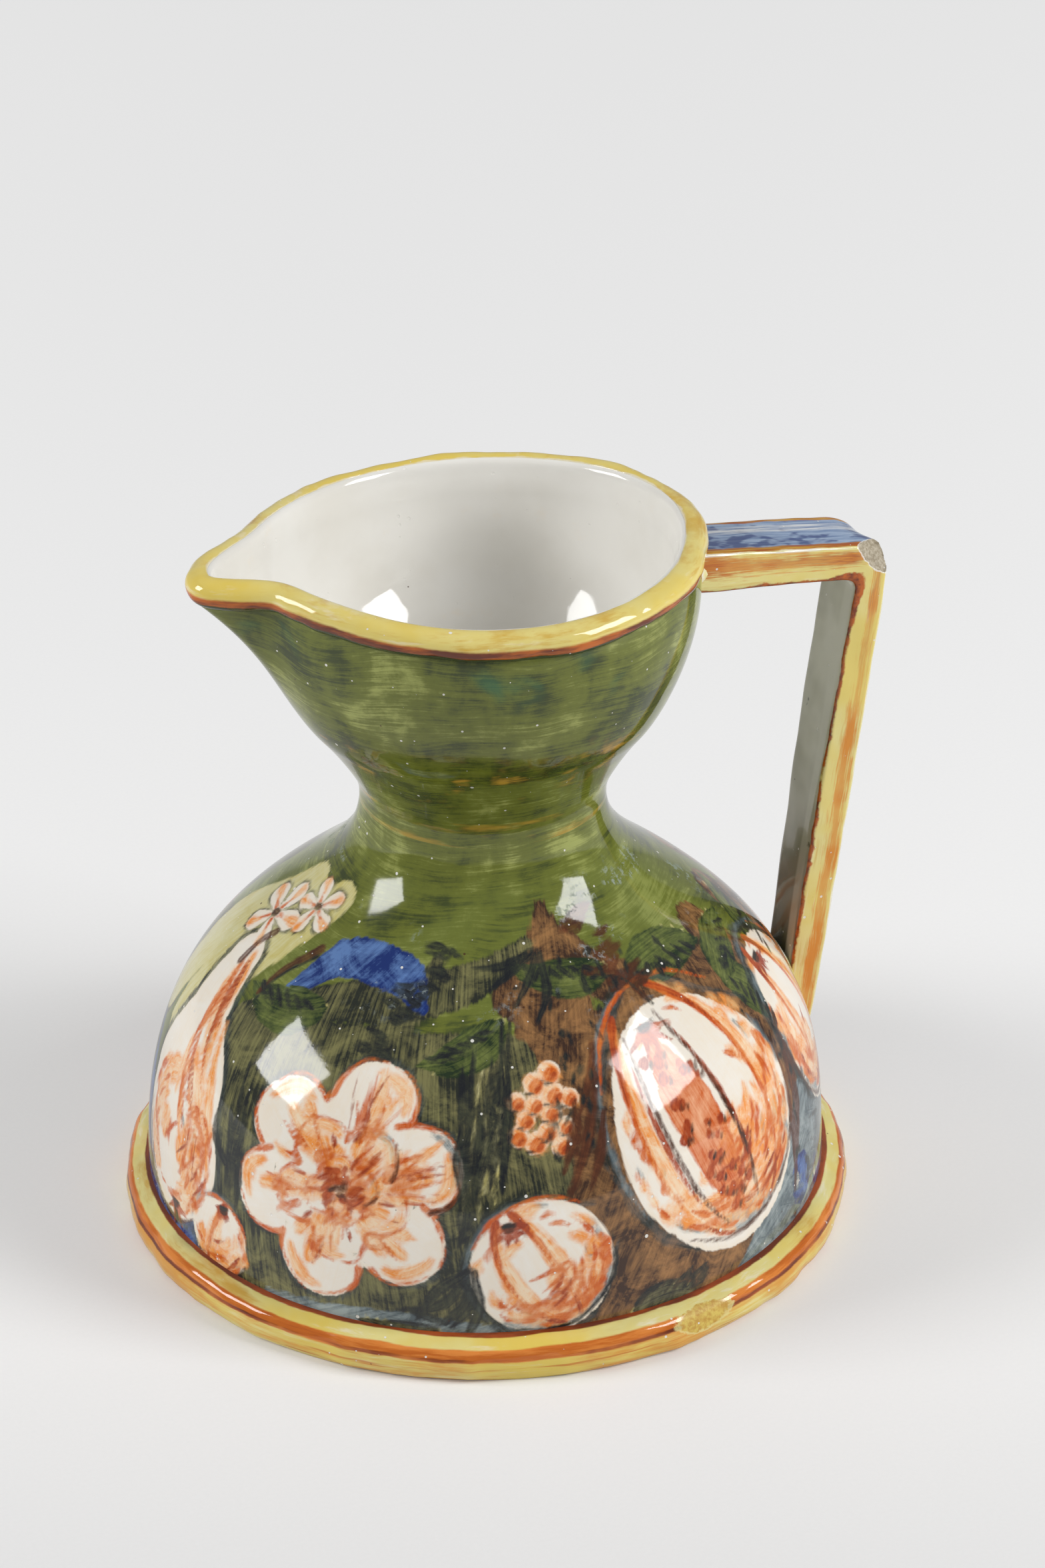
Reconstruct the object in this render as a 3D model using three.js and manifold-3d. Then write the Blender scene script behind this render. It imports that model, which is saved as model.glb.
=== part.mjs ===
// A tin-glazed pitcher: a wide bell-shaped body on a moulded foot, a narrow waist, an
// open bowl pulled out into one spout, a rolled rim, and an angular strap handle.
// Millimetres, +Z up. The origin is on the turning axis, level with the table.
// The spout points along -X and the handle along +X.

import * as THREE from 'three';
import { mergeVertices } from 'three/addons/utils/BufferGeometryUtils.js';
import Module from 'manifold-3d';

const wasm = await Module();
wasm.setup();

// Walls and joints
const WALL = 6;
const RIM_WALL = 5.2;
const SEAM = 0.3;

// Foot and floor
const FLOOR_THICKNESS = 7;
const FOOT_WIDTH = 6.7;
const FOOT_UNDERCUT = 1.8;
const FOOT_BULGE_HEIGHT = 4.2;
const FOOT_SHOULDER_HEIGHT = 8.6;
const FOOT_LEDGE_HEIGHT = 11.6;
const LEDGE_SHARE = 0.67;

// Bell and neck, outside. Angles here and below are in degrees.
const BELL_RADIUS = 93.3;
const BELL_SPRING_HEIGHT = 9;
const SHOULDER_RADIUS = 54.9;
const SHOULDER_HEIGHT = 91.1;
const SHOULDER_ANGLE = 142.9;
const NECK_LENGTH = 34.1;
const WAIST_RADIUS = 32.6;

// Bowl, outside
const WAIST_ANGLE = 74;
const BELLY_RADIUS = 45.5;
const BELLY_RISE = 20.7;
const BELLY_ANGLE = 49.9;
const BOWL_DEPTH = 64.5;
const MOUTH_ANGLE = 104.2;
const BOWL_SHIFT = 0.8;

// Rolled rim, along the centre of the roll
const RIM_RADIUS = 54.6;
const ROLL_RADIUS = 4;
const ROLL_SEAT = 3;
const ROLL_OVERHANG = 0.5;
const HANDLE_SIDE_LIFT = 3.1;
const HANDLE_SIDE_ANGLE = 57;

// Spout
const SPOUT_TURN_ANGLE = 1.8;
const SPOUT_LIFT = 4.7;
const LIFT_ANGLE = 52;
const SPOUT_FLARE = 5.8;
const FLARE_NEAR_ANGLE = 30;
const FLARE_FAR_ANGLE = 40;
const FLARE_POWER = 1.1;
const SPOUT_PULL = 15.4;
const PULL_NEAR_ANGLE = 7;
const PULL_FAR_ANGLE = 15;
const PULL_POWER = 3.4;

// Handle
const HANDLE_OVERHANG = 20.4;
const CORNER_DROP = 11.8;
const CORNER_ROUND = 3;
const ARM_RISE = 6.9;
const ARM_ROOT_THICKNESS = 11.6;
const ARM_THICKNESS = 9.2;
const UPRIGHT_THICKNESS = 10.1;
const UPRIGHT_BOW = 1.7;
const BEND_LENGTH = 26;
const LANDING_HEIGHT = 22;
const LANDING_PROUD = 1.3;
const LANDING_DEPTH = 0.8;
const ROOT_WIDTH = 21.2;
const CORNER_WIDTH = 21;
const LANDING_WIDTH = 14.6;
const ARRIS = 1.2;

// Slip smoothed into the joints, and the chip at the handle's corner
const LUTING_REACH = 3.4;
const LUTING_THICKNESS = 1;
const COLLAR_LIP = 1;
const ROOT_COLLAR_REACH = 7;
const ROOT_COLLAR_FLARE = 2.6;
const FOOT_COLLAR_REACH = 2.6;
const FOOT_COLLAR_FLARE = 1.8;
const CHIP_SIZE = 8.4;
const CHIP_DEPTH = 3.9;

// Facets
const SIDES = 60;
const SPOUT_CROWDING = 0.45;

const { degToRad, clamp, lerp } = THREE.MathUtils;

const footRadius = BELL_RADIUS + FOOT_WIDTH;
const waistHeight = SHOULDER_HEIGHT + NECK_LENGTH;
const bellyHeight = waistHeight + BELLY_RISE;
const rimHeight = waistHeight + BOWL_DEPTH;
const mouthHeight = rimHeight - ROLL_SEAT - SEAM;
const mouthRadius = RIM_RADIUS + RIM_WALL / 2 - ROLL_OVERHANG;

const glaze = (colour, roughness = 0.2) =>
  new THREE.MeshStandardMaterial({ color: colour, roughness, metalness: 0 });

const paintedBell = glaze(0x8a7350);
const paintedGreen = glaze(0x4e5f2c);
const paintedYellow = glaze(0xd9b63e);
const paintedOchre = glaze(0xb07a2c);
const paintedCream = glaze(0xdccf9a);
const bareClay = glaze(0xc9b79c, 0.85);

// Turning

// A smooth run of an outline. It leaves and arrives at given angles above level, and
// each pull says how far it keeps that angle, as a share of the run's reach.
function flow(start, leave, leavePull, end, arrive, arrivePull) {
  const reach = start.distanceTo(end);
  const along = (angle, pull) =>
    new THREE.Vector2(Math.cos(degToRad(angle)), Math.sin(degToRad(angle))).multiplyScalar(reach * pull);
  return new THREE.CubicBezierCurve(
    start,
    along(leave, leavePull).add(start),
    along(arrive, -arrivePull).add(end),
    end,
  );
}

const at = (radius, height) => new THREE.Vector2(radius, height);

const shoulder = at(SHOULDER_RADIUS, SHOULDER_HEIGHT);
const waist = at(WAIST_RADIUS, waistHeight);
const belly = at(BELLY_RADIUS, bellyHeight);

const bellRuns = [
  flow(at(BELL_RADIUS, BELL_SPRING_HEIGHT), 89.5, 0.45, shoulder, SHOULDER_ANGLE, 0.417),
  flow(shoulder, SHOULDER_ANGLE, 0.58, waist, 91, 0.3),
];
const bowlRuns = [
  flow(waist, WAIST_ANGLE, 0.15, belly, BELLY_ANGLE, 0.393),
  flow(belly, BELLY_ANGLE, 0.225, at(mouthRadius, mouthHeight), MOUTH_ANGLE, 0.279),
];

// Points up a run of curves, moved square to the surface by a distance that may
// change with the fraction of the way up. Positive is outwards.
function climb(runs, steps, offset) {
  const points = [];
  runs.forEach((run, index) => {
    for (let step = index ? 1 : 0; step <= steps[index]; step++) {
      const part = step / steps[index];
      const tangent = run.getTangentAt(part);
      const outwards = at(tangent.y, -tangent.x);
      const distance = offset((index + part) / runs.length);
      points.push(run.getPointAt(part).addScaledVector(outwards, distance));
    }
  });
  return points;
}

const flush = () => 0;
const proud = () => 1.5 * SEAM;

// A solid of revolution. The outline runs up on its outer side.
function turned(outline) {
  return new THREE.LatheGeometry(outline, SIDES).rotateX(Math.PI / 2);
}

// The neck leans a little towards the handle, and carries the bowl with it.
function leanNeck(point) {
  point.x += BOWL_SHIFT * clamp((point.z - SHOULDER_HEIGHT) / (waistHeight - SHOULDER_HEIGHT), 0, 1);
}

// The mouth

const swell = (angle, spread) => Math.exp(-((angle / degToRad(spread)) ** 2));

// How far the mouth is pulled out and lifted, by the angle from the spout. The spout
// is pinched harder on its near side, towards -Y, than on its far side.
const uneven = (angle, near, far) => {
  const turn = angle - degToRad(SPOUT_TURN_ANGLE);
  return swell(turn, turn > 0 ? near : far);
};
const flareAt = (angle) => SPOUT_FLARE * uneven(angle, FLARE_NEAR_ANGLE, FLARE_FAR_ANGLE);
const pullAt = (angle) => SPOUT_PULL * uneven(angle, PULL_NEAR_ANGLE, PULL_FAR_ANGLE);
const liftAt = (angle) =>
  SPOUT_LIFT * swell(angle, LIFT_ANGLE) +
  HANDLE_SIDE_LIFT * swell(Math.PI - Math.abs(angle), HANDLE_SIDE_ANGLE);

const fromSpout = (x, y) => Math.atan2(-y, -x);
const crowded = (angle) => angle - SPOUT_CROWDING * Math.sin(angle);

// Moves every point of a turned geometry to where the potter's hand took it.
function reshape(geometry, place) {
  const position = geometry.attributes.position;
  const point = new THREE.Vector3();
  for (let index = 0; index < position.count; index++) {
    point.fromBufferAttribute(position, index);
    const radius = Math.hypot(point.x, point.y);
    place(point, radius, fromSpout(point.x, point.y));
    leanNeck(point);
    position.setXYZ(index, point.x, point.y, point.z);
  }
  geometry.computeVertexNormals();
  return geometry;
}

function keepRound() {}

function pullSpout(point, radius, evenAngle) {
  const angle = crowded(evenAngle);
  const height = clamp((point.z - bellyHeight) / (mouthHeight - bellyHeight), 0, 1);
  const reach = radius + flareAt(angle) * height ** FLARE_POWER + pullAt(angle) * height ** PULL_POWER;
  point.set(-reach * Math.cos(angle), -reach * Math.sin(angle), point.z + liftAt(angle) * height ** 2);
}

// The centre of the roll, by the angle from the spout.
function rimPoint(angle) {
  const reach = RIM_RADIUS + flareAt(angle) + pullAt(angle);
  return new THREE.Vector3(-reach * Math.cos(angle), -reach * Math.sin(angle), rimHeight + liftAt(angle));
}

function followRim(point, radius, evenAngle) {
  const angle = crowded(evenAngle);
  const nearby = 0.001;
  const along = rimPoint(angle + nearby).sub(rimPoint(angle - nearby)).normalize();
  const across = new THREE.Vector3(along.y, -along.x, 0).normalize();
  const up = across.clone().cross(along);
  const rise = point.z - rimHeight;
  point.copy(rimPoint(angle)).addScaledVector(across, radius - RIM_RADIUS).addScaledVector(up, rise);
}

// Solids

function toSolid(geometry) {
  const bare = geometry.clone();
  bare.deleteAttribute('normal');
  bare.deleteAttribute('uv');
  const merged = mergeVertices(bare);
  return new wasm.Manifold(new wasm.Mesh({
    numProp: 3,
    vertProperties: merged.attributes.position.array,
    triVerts: new Uint32Array(merged.index.array),
  }));
}

function toGeometry(solid) {
  const mesh = solid.getMesh();
  const geometry = new THREE.BufferGeometry();
  geometry.setAttribute('position', new THREE.BufferAttribute(mesh.vertProperties, 3));
  geometry.setIndex(new THREE.BufferAttribute(mesh.triVerts, 1));
  geometry.computeVertexNormals();
  return geometry;
}

// Pieces of the body

function floorSlab() {
  const radius = BELL_RADIUS - WALL - SEAM;
  return turned([at(0, 0), at(radius, 0), at(radius, FLOOR_THICKNESS), at(0, FLOOR_THICKNESS)]);
}

function bellBody() {
  const outside = climb(bellRuns, [9, 6], flush);
  const inside = climb(bellRuns, [6, 5], () => -WALL).reverse();
  const joint = waistHeight - SEAM / 2;
  outside.at(-1).y = joint;
  inside[0].y = joint;
  const outline = [at(BELL_RADIUS, 0), ...outside, ...inside, at(BELL_RADIUS - WALL, 0)];
  return reshape(turned([...outline, outline[0]]), keepRound);
}

function footRing() {
  const inner = BELL_RADIUS + SEAM;
  const section = new THREE.Path();
  section.moveTo(inner, 0);
  section.lineTo(footRadius - FOOT_UNDERCUT, 0);
  section.quadraticCurveTo(footRadius, FOOT_BULGE_HEIGHT / 3, footRadius, FOOT_BULGE_HEIGHT);
  section.quadraticCurveTo(
    footRadius, FOOT_SHOULDER_HEIGHT,
    lerp(inner, footRadius, LEDGE_SHARE), FOOT_SHOULDER_HEIGHT + (FOOT_LEDGE_HEIGHT - FOOT_SHOULDER_HEIGHT) / 4,
  );
  section.lineTo(inner, FOOT_LEDGE_HEIGHT);
  section.lineTo(inner, 0);
  return turned(section.getPoints(3));
}

function upperBowl() {
  const outside = climb(bowlRuns, [4, 7], flush);
  const thickness = (part) => -lerp(WALL, RIM_WALL, part);
  const inside = climb(bowlRuns, [3, 6], thickness).reverse();
  const joint = waistHeight + SEAM / 2;
  outside[0].y = joint;
  inside[0].set(mouthRadius - RIM_WALL, mouthHeight);
  const outline = [...outside, ...inside, at(WAIST_RADIUS - WALL, joint)];
  return reshape(turned([...outline, outline[0]]), pullSpout);
}

// Slip smoothed into the crease between the neck and the bowl.
function waistLuting() {
  const neck = climb([bellRuns[1]], [24], proud).filter((point) => point.y > waistHeight - LUTING_REACH);
  const bowl = climb([bowlRuns[0]], [24], proud).filter((point) => point.y < waistHeight + LUTING_REACH);
  const low = neck[0];
  const high = bowl.at(-1);
  const face = new THREE.QuadraticBezierCurve(low, at(WAIST_RADIUS + LUTING_THICKNESS, waistHeight), high);
  const outline = [...face.getPoints(4), at(WAIST_RADIUS + proud(), waistHeight)];
  return reshape(turned([...outline, outline[0]]), keepRound);
}

function rimCoil(grow = 0) {
  const radius = ROLL_RADIUS + grow;
  const seat = Math.asin(clamp(-(ROLL_SEAT + grow) / radius, -1, 1));
  const section = new THREE.Path();
  section.absarc(RIM_RADIUS, rimHeight, radius, seat, Math.PI - seat, false);
  const outline = section.getPoints(5);
  return reshape(turned([...outline, outline[0]]), followRim);
}

// The bell or the bowl without its hollow, grown by a distance. It cuts, or limits,
// what is luted on.
function filled(runs, steps, foot, place, grow) {
  const outside = climb(runs, steps, () => grow);
  const core = WAIST_RADIUS - WALL;
  const outline = [at(outside[0].x, foot), ...outside, at(core, outside.at(-1).y), at(core, foot)];
  return toSolid(reshape(turned([...outline, outline[0]]), place));
}

const filledBell = (grow) => filled(bellRuns, [9, 6], -SEAM, keepRound, grow);
const filledBowl = (grow) => filled(bowlRuns, [4, 7], waistHeight - SEAM, pullSpout, grow);

// Handle

const handleReach = BELL_RADIUS + HANDLE_OVERHANG;
const cornerHeight = rimHeight - CORNER_DROP;
const lean = (HANDLE_OVERHANG - LANDING_PROUD) / (cornerHeight - LANDING_HEIGHT);
const armSlope = ARM_RISE / (handleReach - mouthRadius);
const outerCorner = at(handleReach, cornerHeight);
const innerCorner = at(handleReach - UPRIGHT_THICKNESS, cornerHeight - ARM_THICKNESS);

// The strap seen from the side, from inside the bowl's wall to inside the bell's wall.
function strapOutline(grow) {
  const root = mouthRadius - WALL / 2;
  const run = handleReach - root;
  const topRoot = at(root, cornerHeight + run * armSlope);
  const lowRoot = at(root, topRoot.y - ARM_ROOT_THICKNESS);
  const landing = at(BELL_RADIUS - LANDING_DEPTH, LANDING_HEIGHT);
  const [bend, middle] = [BEND_LENGTH, BEND_LENGTH / 2].map((above) =>
    at(BELL_RADIUS + LANDING_PROUD + above * lean, LANDING_HEIGHT + above));
  const tail = landing.clone().add(landing.clone().sub(middle).multiplyScalar(0.6));
  const innerTail = at(innerCorner.x - (innerCorner.y - tail.y) * lean, tail.y);
  const bow = innerTail.clone().add(innerCorner).divideScalar(2).sub(at(2 * UPRIGHT_BOW, 0));
  const shape = new THREE.Shape();
  shape.moveTo(topRoot.x, topRoot.y + grow);
  shape.lineTo(outerCorner.x - CORNER_ROUND, outerCorner.y + CORNER_ROUND * armSlope + grow);
  shape.quadraticCurveTo(
    outerCorner.x + grow, outerCorner.y + grow,
    outerCorner.x - CORNER_ROUND * lean + grow, outerCorner.y - CORNER_ROUND,
  );
  shape.lineTo(bend.x + grow, bend.y);
  shape.quadraticCurveTo(middle.x + grow, middle.y, landing.x + grow, landing.y);
  shape.lineTo(tail.x + grow, tail.y);
  shape.lineTo(innerTail.x - grow, tail.y);
  shape.quadraticCurveTo(bow.x - grow, bow.y, innerCorner.x - grow, innerCorner.y - grow);
  shape.lineTo(lowRoot.x, lowRoot.y - grow);
  shape.closePath();
  return shape;
}

// Width of the strap: along the arm by reach, down the upright by height.
function strapWidth(x, z) {
  if (z > innerCorner.y - ARRIS) {
    return lerp(CORNER_WIDTH, ROOT_WIDTH, clamp((handleReach - x) / (handleReach - mouthRadius), 0, 1));
  }
  return lerp(CORNER_WIDTH, LANDING_WIDTH, clamp((cornerHeight - z) / (cornerHeight - LANDING_HEIGHT), 0, 1));
}

function strap(grow = 0) {
  const half = CORNER_WIDTH / 2;
  const geometry = new THREE.ExtrudeGeometry(strapOutline(grow), {
    depth: 2 * (half + grow - ARRIS),
    bevelThickness: ARRIS,
    bevelSize: ARRIS,
    bevelOffset: -ARRIS,
    bevelSegments: 2,
    curveSegments: 5,
  });
  geometry.translate(0, 0, ARRIS - half - grow).rotateX(Math.PI / 2);
  const position = geometry.attributes.position;
  for (let index = 0; index < position.count; index++) {
    const width = strapWidth(position.getX(index), position.getZ(index));
    position.setY(index, position.getY(index) * (width + 2 * grow) / (CORNER_WIDTH + 2 * grow));
  }
  return toSolid(geometry);
}

// A block that fills one side of the mitre at the handle's corner.
function mitreBlock(side) {
  const size = 2 * (handleReach + cornerHeight);
  const along = outerCorner.clone().sub(innerCorner);
  const slant = Math.atan2(along.y, along.x);
  const middle = outerCorner.clone().add(innerCorner).divideScalar(2);
  const shift = side * (size / 2 - SEAM / 2);
  const block = new THREE.BoxGeometry(size, size, size);
  block.rotateY(-slant);
  block.translate(middle.x - Math.sin(slant) * shift, 0, middle.y + Math.cos(slant) * shift);
  return toSolid(block);
}

// What broke off the outer corner on the side that faces away from +Y: a wide, nearly
// flat scar, cut by a large ball that lies off the corner.
const offCorner = new THREE.Vector3(0.43, -0.7, 0.56);

function chip() {
  const radius = 2 * CHIP_SIZE;
  const corner = new THREE.Vector3(handleReach, -CORNER_WIDTH / 2, cornerHeight);
  const centre = corner.addScaledVector(offCorner, radius - CHIP_DEPTH);
  const ball = new THREE.IcosahedronGeometry(radius, 1);
  return toSolid(ball.translate(centre.x, centre.y, centre.z));
}

// Slip round the strap where it meets a wall: thick on the wall and thin at its edge.
function collar(wall, reach, flare) {
  const onWall = strap(flare).intersect(wall(COLLAR_LIP));
  const onStrap = strap(COLLAR_LIP).intersect(wall(reach));
  const slip = wasm.Manifold.hull([onWall, onStrap]);
  return toGeometry(slip.subtract(strap(SEAM)).subtract(wall(SEAM)).subtract(toSolid(rimCoil(SEAM))));
}

const toArm = 1;
const toUpright = -1;
const chippedStrap = strap().subtract(chip());

const handleArm = () =>
  toGeometry(chippedStrap.subtract(filledBowl(SEAM)).subtract(mitreBlock(toUpright)));

const handleUpright = () =>
  toGeometry(chippedStrap.subtract(filledBell(SEAM)).subtract(mitreBlock(toArm)));

const group = new THREE.Group();

function add(name, geometry, material) {
  const mesh = new THREE.Mesh(geometry, material);
  mesh.name = name;
  group.add(mesh);
}

add('floor_slab', floorSlab(), bareClay);
add('bell_body', bellBody(), paintedBell);
add('foot_ring', footRing(), paintedYellow);
add('waist_luting', waistLuting(), paintedOchre);
add('upper_bowl', upperBowl(), paintedGreen);
add('rim_coil', rimCoil(), paintedYellow);
add('handle_arm', handleArm(), paintedYellow);
add('handle_upright', handleUpright(), paintedYellow);
add('rim_luting', collar(filledBowl, ROOT_COLLAR_REACH, ROOT_COLLAR_FLARE), paintedCream);
add('shoulder_luting', collar(filledBell, FOOT_COLLAR_REACH, FOOT_COLLAR_FLARE), paintedOchre);

export default group;
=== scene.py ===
"""The looks of a hand-painted, tin-glazed pitcher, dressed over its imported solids."""
import math

import bpy
import numpy as np
from mathutils import Matrix, Vector


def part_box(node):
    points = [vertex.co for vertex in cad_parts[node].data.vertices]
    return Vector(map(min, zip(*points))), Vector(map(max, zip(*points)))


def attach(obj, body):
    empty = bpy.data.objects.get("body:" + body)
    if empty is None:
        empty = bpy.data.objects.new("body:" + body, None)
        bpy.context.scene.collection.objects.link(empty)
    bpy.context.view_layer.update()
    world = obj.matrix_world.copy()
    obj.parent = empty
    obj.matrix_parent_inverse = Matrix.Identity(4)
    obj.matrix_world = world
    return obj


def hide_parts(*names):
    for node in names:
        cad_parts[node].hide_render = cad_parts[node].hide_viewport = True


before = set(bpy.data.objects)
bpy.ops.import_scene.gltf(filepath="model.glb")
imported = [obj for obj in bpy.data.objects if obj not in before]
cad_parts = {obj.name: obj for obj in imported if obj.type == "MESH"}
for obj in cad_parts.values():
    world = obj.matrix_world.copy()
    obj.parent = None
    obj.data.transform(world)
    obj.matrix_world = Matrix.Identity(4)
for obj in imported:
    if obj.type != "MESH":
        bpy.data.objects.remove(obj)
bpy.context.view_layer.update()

# Sizes are in millimetres and angles in degrees until a mesh is made.
MM = 0.001
FULL_TURN = 2 * math.pi

# Edges that turn more than this stay sharp
SHARP_ANGLE = 50.0

# Walls and seams
WALL = 6.0
RIM_WALL = 5.2
SEAM = 0.3

# Bell and neck, outside
BELL_SPRING_HEIGHT = 9.0
SHOULDER_RADIUS = 54.9
SHOULDER_HEIGHT = 91.1
WAIST_RADIUS = 32.6

# Bowl, outside
BELLY_RADIUS = 45.5
BELLY_RISE = 20.7
BOWL_DEPTH = 64.5
BOWL_SHIFT = 0.8

# Rolled rim and spout
RIM_RADIUS = 54.6
ROLL_RADIUS = 4.0
ROLL_SEAT = 3.0
ROLL_OVERHANG = 0.5
HANDLE_SIDE_LIFT = 3.1
HANDLE_SIDE_ANGLE = 57.0
SPOUT_TURN_ANGLE = 1.8
SPOUT_LIFT = 4.7
LIFT_ANGLE = 52.0
SPOUT_FLARE = 5.8
FLARE_ANGLES = (30.0, 40.0)
FLARE_POWER = 1.1
SPOUT_PULL = 15.4
PULL_ANGLES = (7.0, 15.0)
PULL_POWER = 3.4
SPOUT_CROWDING = 0.45
MOUTH_BLEND = 34.0
# Radius of the bowl's inner wall at heights above the waist
INNER_WALL = [(26.6, 0.0), (28.0, 4.0), (30.8, 10.0), (33.8, 16.0), (37.0, 22.0), (40.9, 28.0), (44.5, 33.0),
              (47.3, 38.0), (48.7, 44.0), (49.4, 50.0), (50.1, 57.0), (50.25, 59.5)]
BEHIND_LIP = 1.1

# Handle
HANDLE_OVERHANG = 20.4
CORNER_DROP = 11.8
ARM_RISE = 6.9
ARM_ROOT_THICKNESS = 11.6
ARM_THICKNESS = 9.2
UPRIGHT_THICKNESS = 10.1
UPRIGHT_BOW = 1.7
BEND_LENGTH = 26.0
LANDING_HEIGHT = 22.0
LANDING_PROUD = 1.3
LANDING_DEPTH = 0.8
ROOT_WIDTH = 21.2
CORNER_WIDTH = 21.0
LANDING_WIDTH = 14.6
ARRIS = 1.7
CORNER_SOFTNESS = 7.0
FAR_CORNER_SOFTNESS = 19.0
INNER_CORNER_SOFTNESS = 6.5
CORNER_ALONG = 54.0
CHIP_SIZE = 9.0
CHIP_DEPTH = 5.2
CHIP_DROP = 1.6
OFF_CORNER = np.array([0.32, -0.76, 0.57])

# Joints and wear
FILLET_REACH = 6.0
FLAKE_TURN = 35.0
FLAKE_HEIGHT = 8.0
FLAKE_LENGTH = 9.0
FLAKE_WIDTH = 4.2

# From the imported parts
bell_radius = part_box("bell_body")[1].x / MM
foot_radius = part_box("foot_ring")[1].x / MM
foot_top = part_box("foot_ring")[1].z / MM
floor_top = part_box("floor_slab")[1].z / MM
waist_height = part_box("bell_body")[1].z / MM + SEAM / 2
belly_height = waist_height + BELLY_RISE
rim_height = waist_height + BOWL_DEPTH
mouth_height = rim_height - ROLL_SEAT - SEAM
mouth_radius = RIM_RADIUS + RIM_WALL / 2 - ROLL_OVERHANG
handle_reach = bell_radius + HANDLE_OVERHANG
corner_height = rim_height - CORNER_DROP
lean = (HANDLE_OVERHANG - LANDING_PROUD) / (corner_height - LANDING_HEIGHT)

# The camera stands at this compass angle. Painted places are given from there.
FRONT = -110.0

# Outlines


def run(start, leave, leave_pull, end, arrive, arrive_pull):
    """The four control points of a smooth run of an outline, as radius and height."""
    start, end = np.array(start), np.array(end)
    reach = np.linalg.norm(end - start)

    def along(angle, pull):
        turn = math.radians(angle)
        return np.array([math.cos(turn), math.sin(turn)]) * reach * pull

    return [start, start + along(leave, leave_pull), end - along(arrive, arrive_pull), end]


shoulder = (SHOULDER_RADIUS, SHOULDER_HEIGHT)
waist = (WAIST_RADIUS, waist_height)
belly = (BELLY_RADIUS, belly_height)
BELL_RUNS = [
    run((bell_radius, BELL_SPRING_HEIGHT), 89.5, 0.45, shoulder, 142.9, 0.417),
    run(shoulder, 142.9, 0.58, waist, 91, 0.3),
]
BOWL_RUNS = [
    run(waist, 74, 0.15, belly, 49.9, 0.393),
    run(belly, 49.9, 0.225, (mouth_radius, mouth_height), 104.2, 0.279),
]


def climb(runs, spacing, offset=lambda part: 0.0):
    """Evenly spaced points up the runs, moved square to the surface by offset(part)."""
    share = np.linspace(0, 1, 400)[:, None]
    fine = np.vstack([
        (1 - share) ** 3 * a + 3 * (1 - share) ** 2 * share * b
        + 3 * (1 - share) * share ** 2 * c + share ** 3 * d
        for a, b, c, d in runs
    ])
    step = np.hypot(*np.diff(fine, axis=0).T)
    fine = fine[np.append(True, step > 1e-9)]
    length = np.append(0, np.cumsum(np.hypot(*np.diff(fine, axis=0).T)))
    count = max(2, round(length[-1] / spacing))
    stops = np.linspace(0, length[-1], count + 1)
    line = np.column_stack([np.interp(stops, length, fine[:, axis]) for axis in (0, 1)])
    tangent = np.gradient(line, axis=0)
    tangent /= np.hypot(*tangent.T)[:, None]
    out = np.column_stack([tangent[:, 1], -tangent[:, 0]])
    return line + out * np.array([offset(part) for part in stops / length[-1]])[:, None]


body_outline = np.vstack([climb(BELL_RUNS, 1.0), climb(BOWL_RUNS, 1.0)[1:]])


def wall_radius(height):
    """The outside's radius at a height."""
    return np.interp(height, body_outline[:, 1], body_outline[:, 0])


def way_of(angle):
    """The way right and up that an angle in degrees points."""
    turn = math.radians(angle)
    return np.array([math.cos(turn), math.sin(turn)])


def smooth_noise(points, size, seed):
    """Gentle bumps of about a given size, between -1 and 1."""
    dice = np.random.default_rng(seed)
    total = np.zeros(points.shape[:-1])
    for _ in range(7):
        direction = dice.normal(size=3)
        direction /= np.linalg.norm(direction)
        total += np.sin(points @ direction * 2 * math.pi / size + dice.uniform(0, 2 * math.pi))
    return total / 4


def unit(vectors):
    """The same ways, each one long."""
    return vectors / np.linalg.norm(vectors, axis=-1, keepdims=True)


def eased(value):
    """From 0 to 1 with soft ends."""
    value = np.clip(value, 0, 1)
    return value * value * (3 - 2 * value)


# The mouth, by the angle from the spout


def swell(angle, spread):
    """One at an angle of zero, fading over a spread in degrees."""
    return np.exp(-((angle / np.radians(spread)) ** 2))


def uneven(angle, spreads):
    """A swell with a spread of its own on each side of the spout."""
    near, far = spreads
    turn = angle - math.radians(SPOUT_TURN_ANGLE)
    return np.where(turn > 0, swell(turn, near), swell(turn, far))


def half_turn(angle):
    """The same angle between minus and plus a half turn."""
    return (angle + math.pi) % (2 * math.pi) - math.pi


def flare_at(angle):
    """How far the mouth opens towards the spout."""
    return SPOUT_FLARE * uneven(half_turn(angle), FLARE_ANGLES)


def pull_at(angle):
    """How far the spout's tip is drawn out."""
    return SPOUT_PULL * uneven(half_turn(angle), PULL_ANGLES)


def lift_at(angle):
    """How far the rim rises, at the spout and at the handle."""
    turn = half_turn(angle)
    return (SPOUT_LIFT * swell(turn, LIFT_ANGLE)
            + HANDLE_SIDE_LIFT * swell(math.pi - np.abs(turn), HANDLE_SIDE_ANGLE))


def crowded(angle):
    """Angles drawn closer together at the spout."""
    return angle - SPOUT_CROWDING * np.sin(angle)


def by_hand(points):
    """Moves points a little in and out, as a thrown and hand-finished wall is."""
    x, y, z = np.moveaxis(points, -1, 0)
    turn = np.arctan2(y, x)
    radius = np.hypot(x, y)
    sway = (0.35 * np.sin(2 * turn + 0.6) + 0.22 * np.sin(3 * turn + z / 24)
            + 0.14 * np.sin(5 * turn - z / 15 + 1) + 0.1 * np.sin(9 * turn + z / 9))
    tall = np.clip(z / 30, 0, 1)
    grow = 1 + sway * tall / np.maximum(radius, 20)
    return np.stack([x * grow, y * grow, z], axis=-1)


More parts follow.
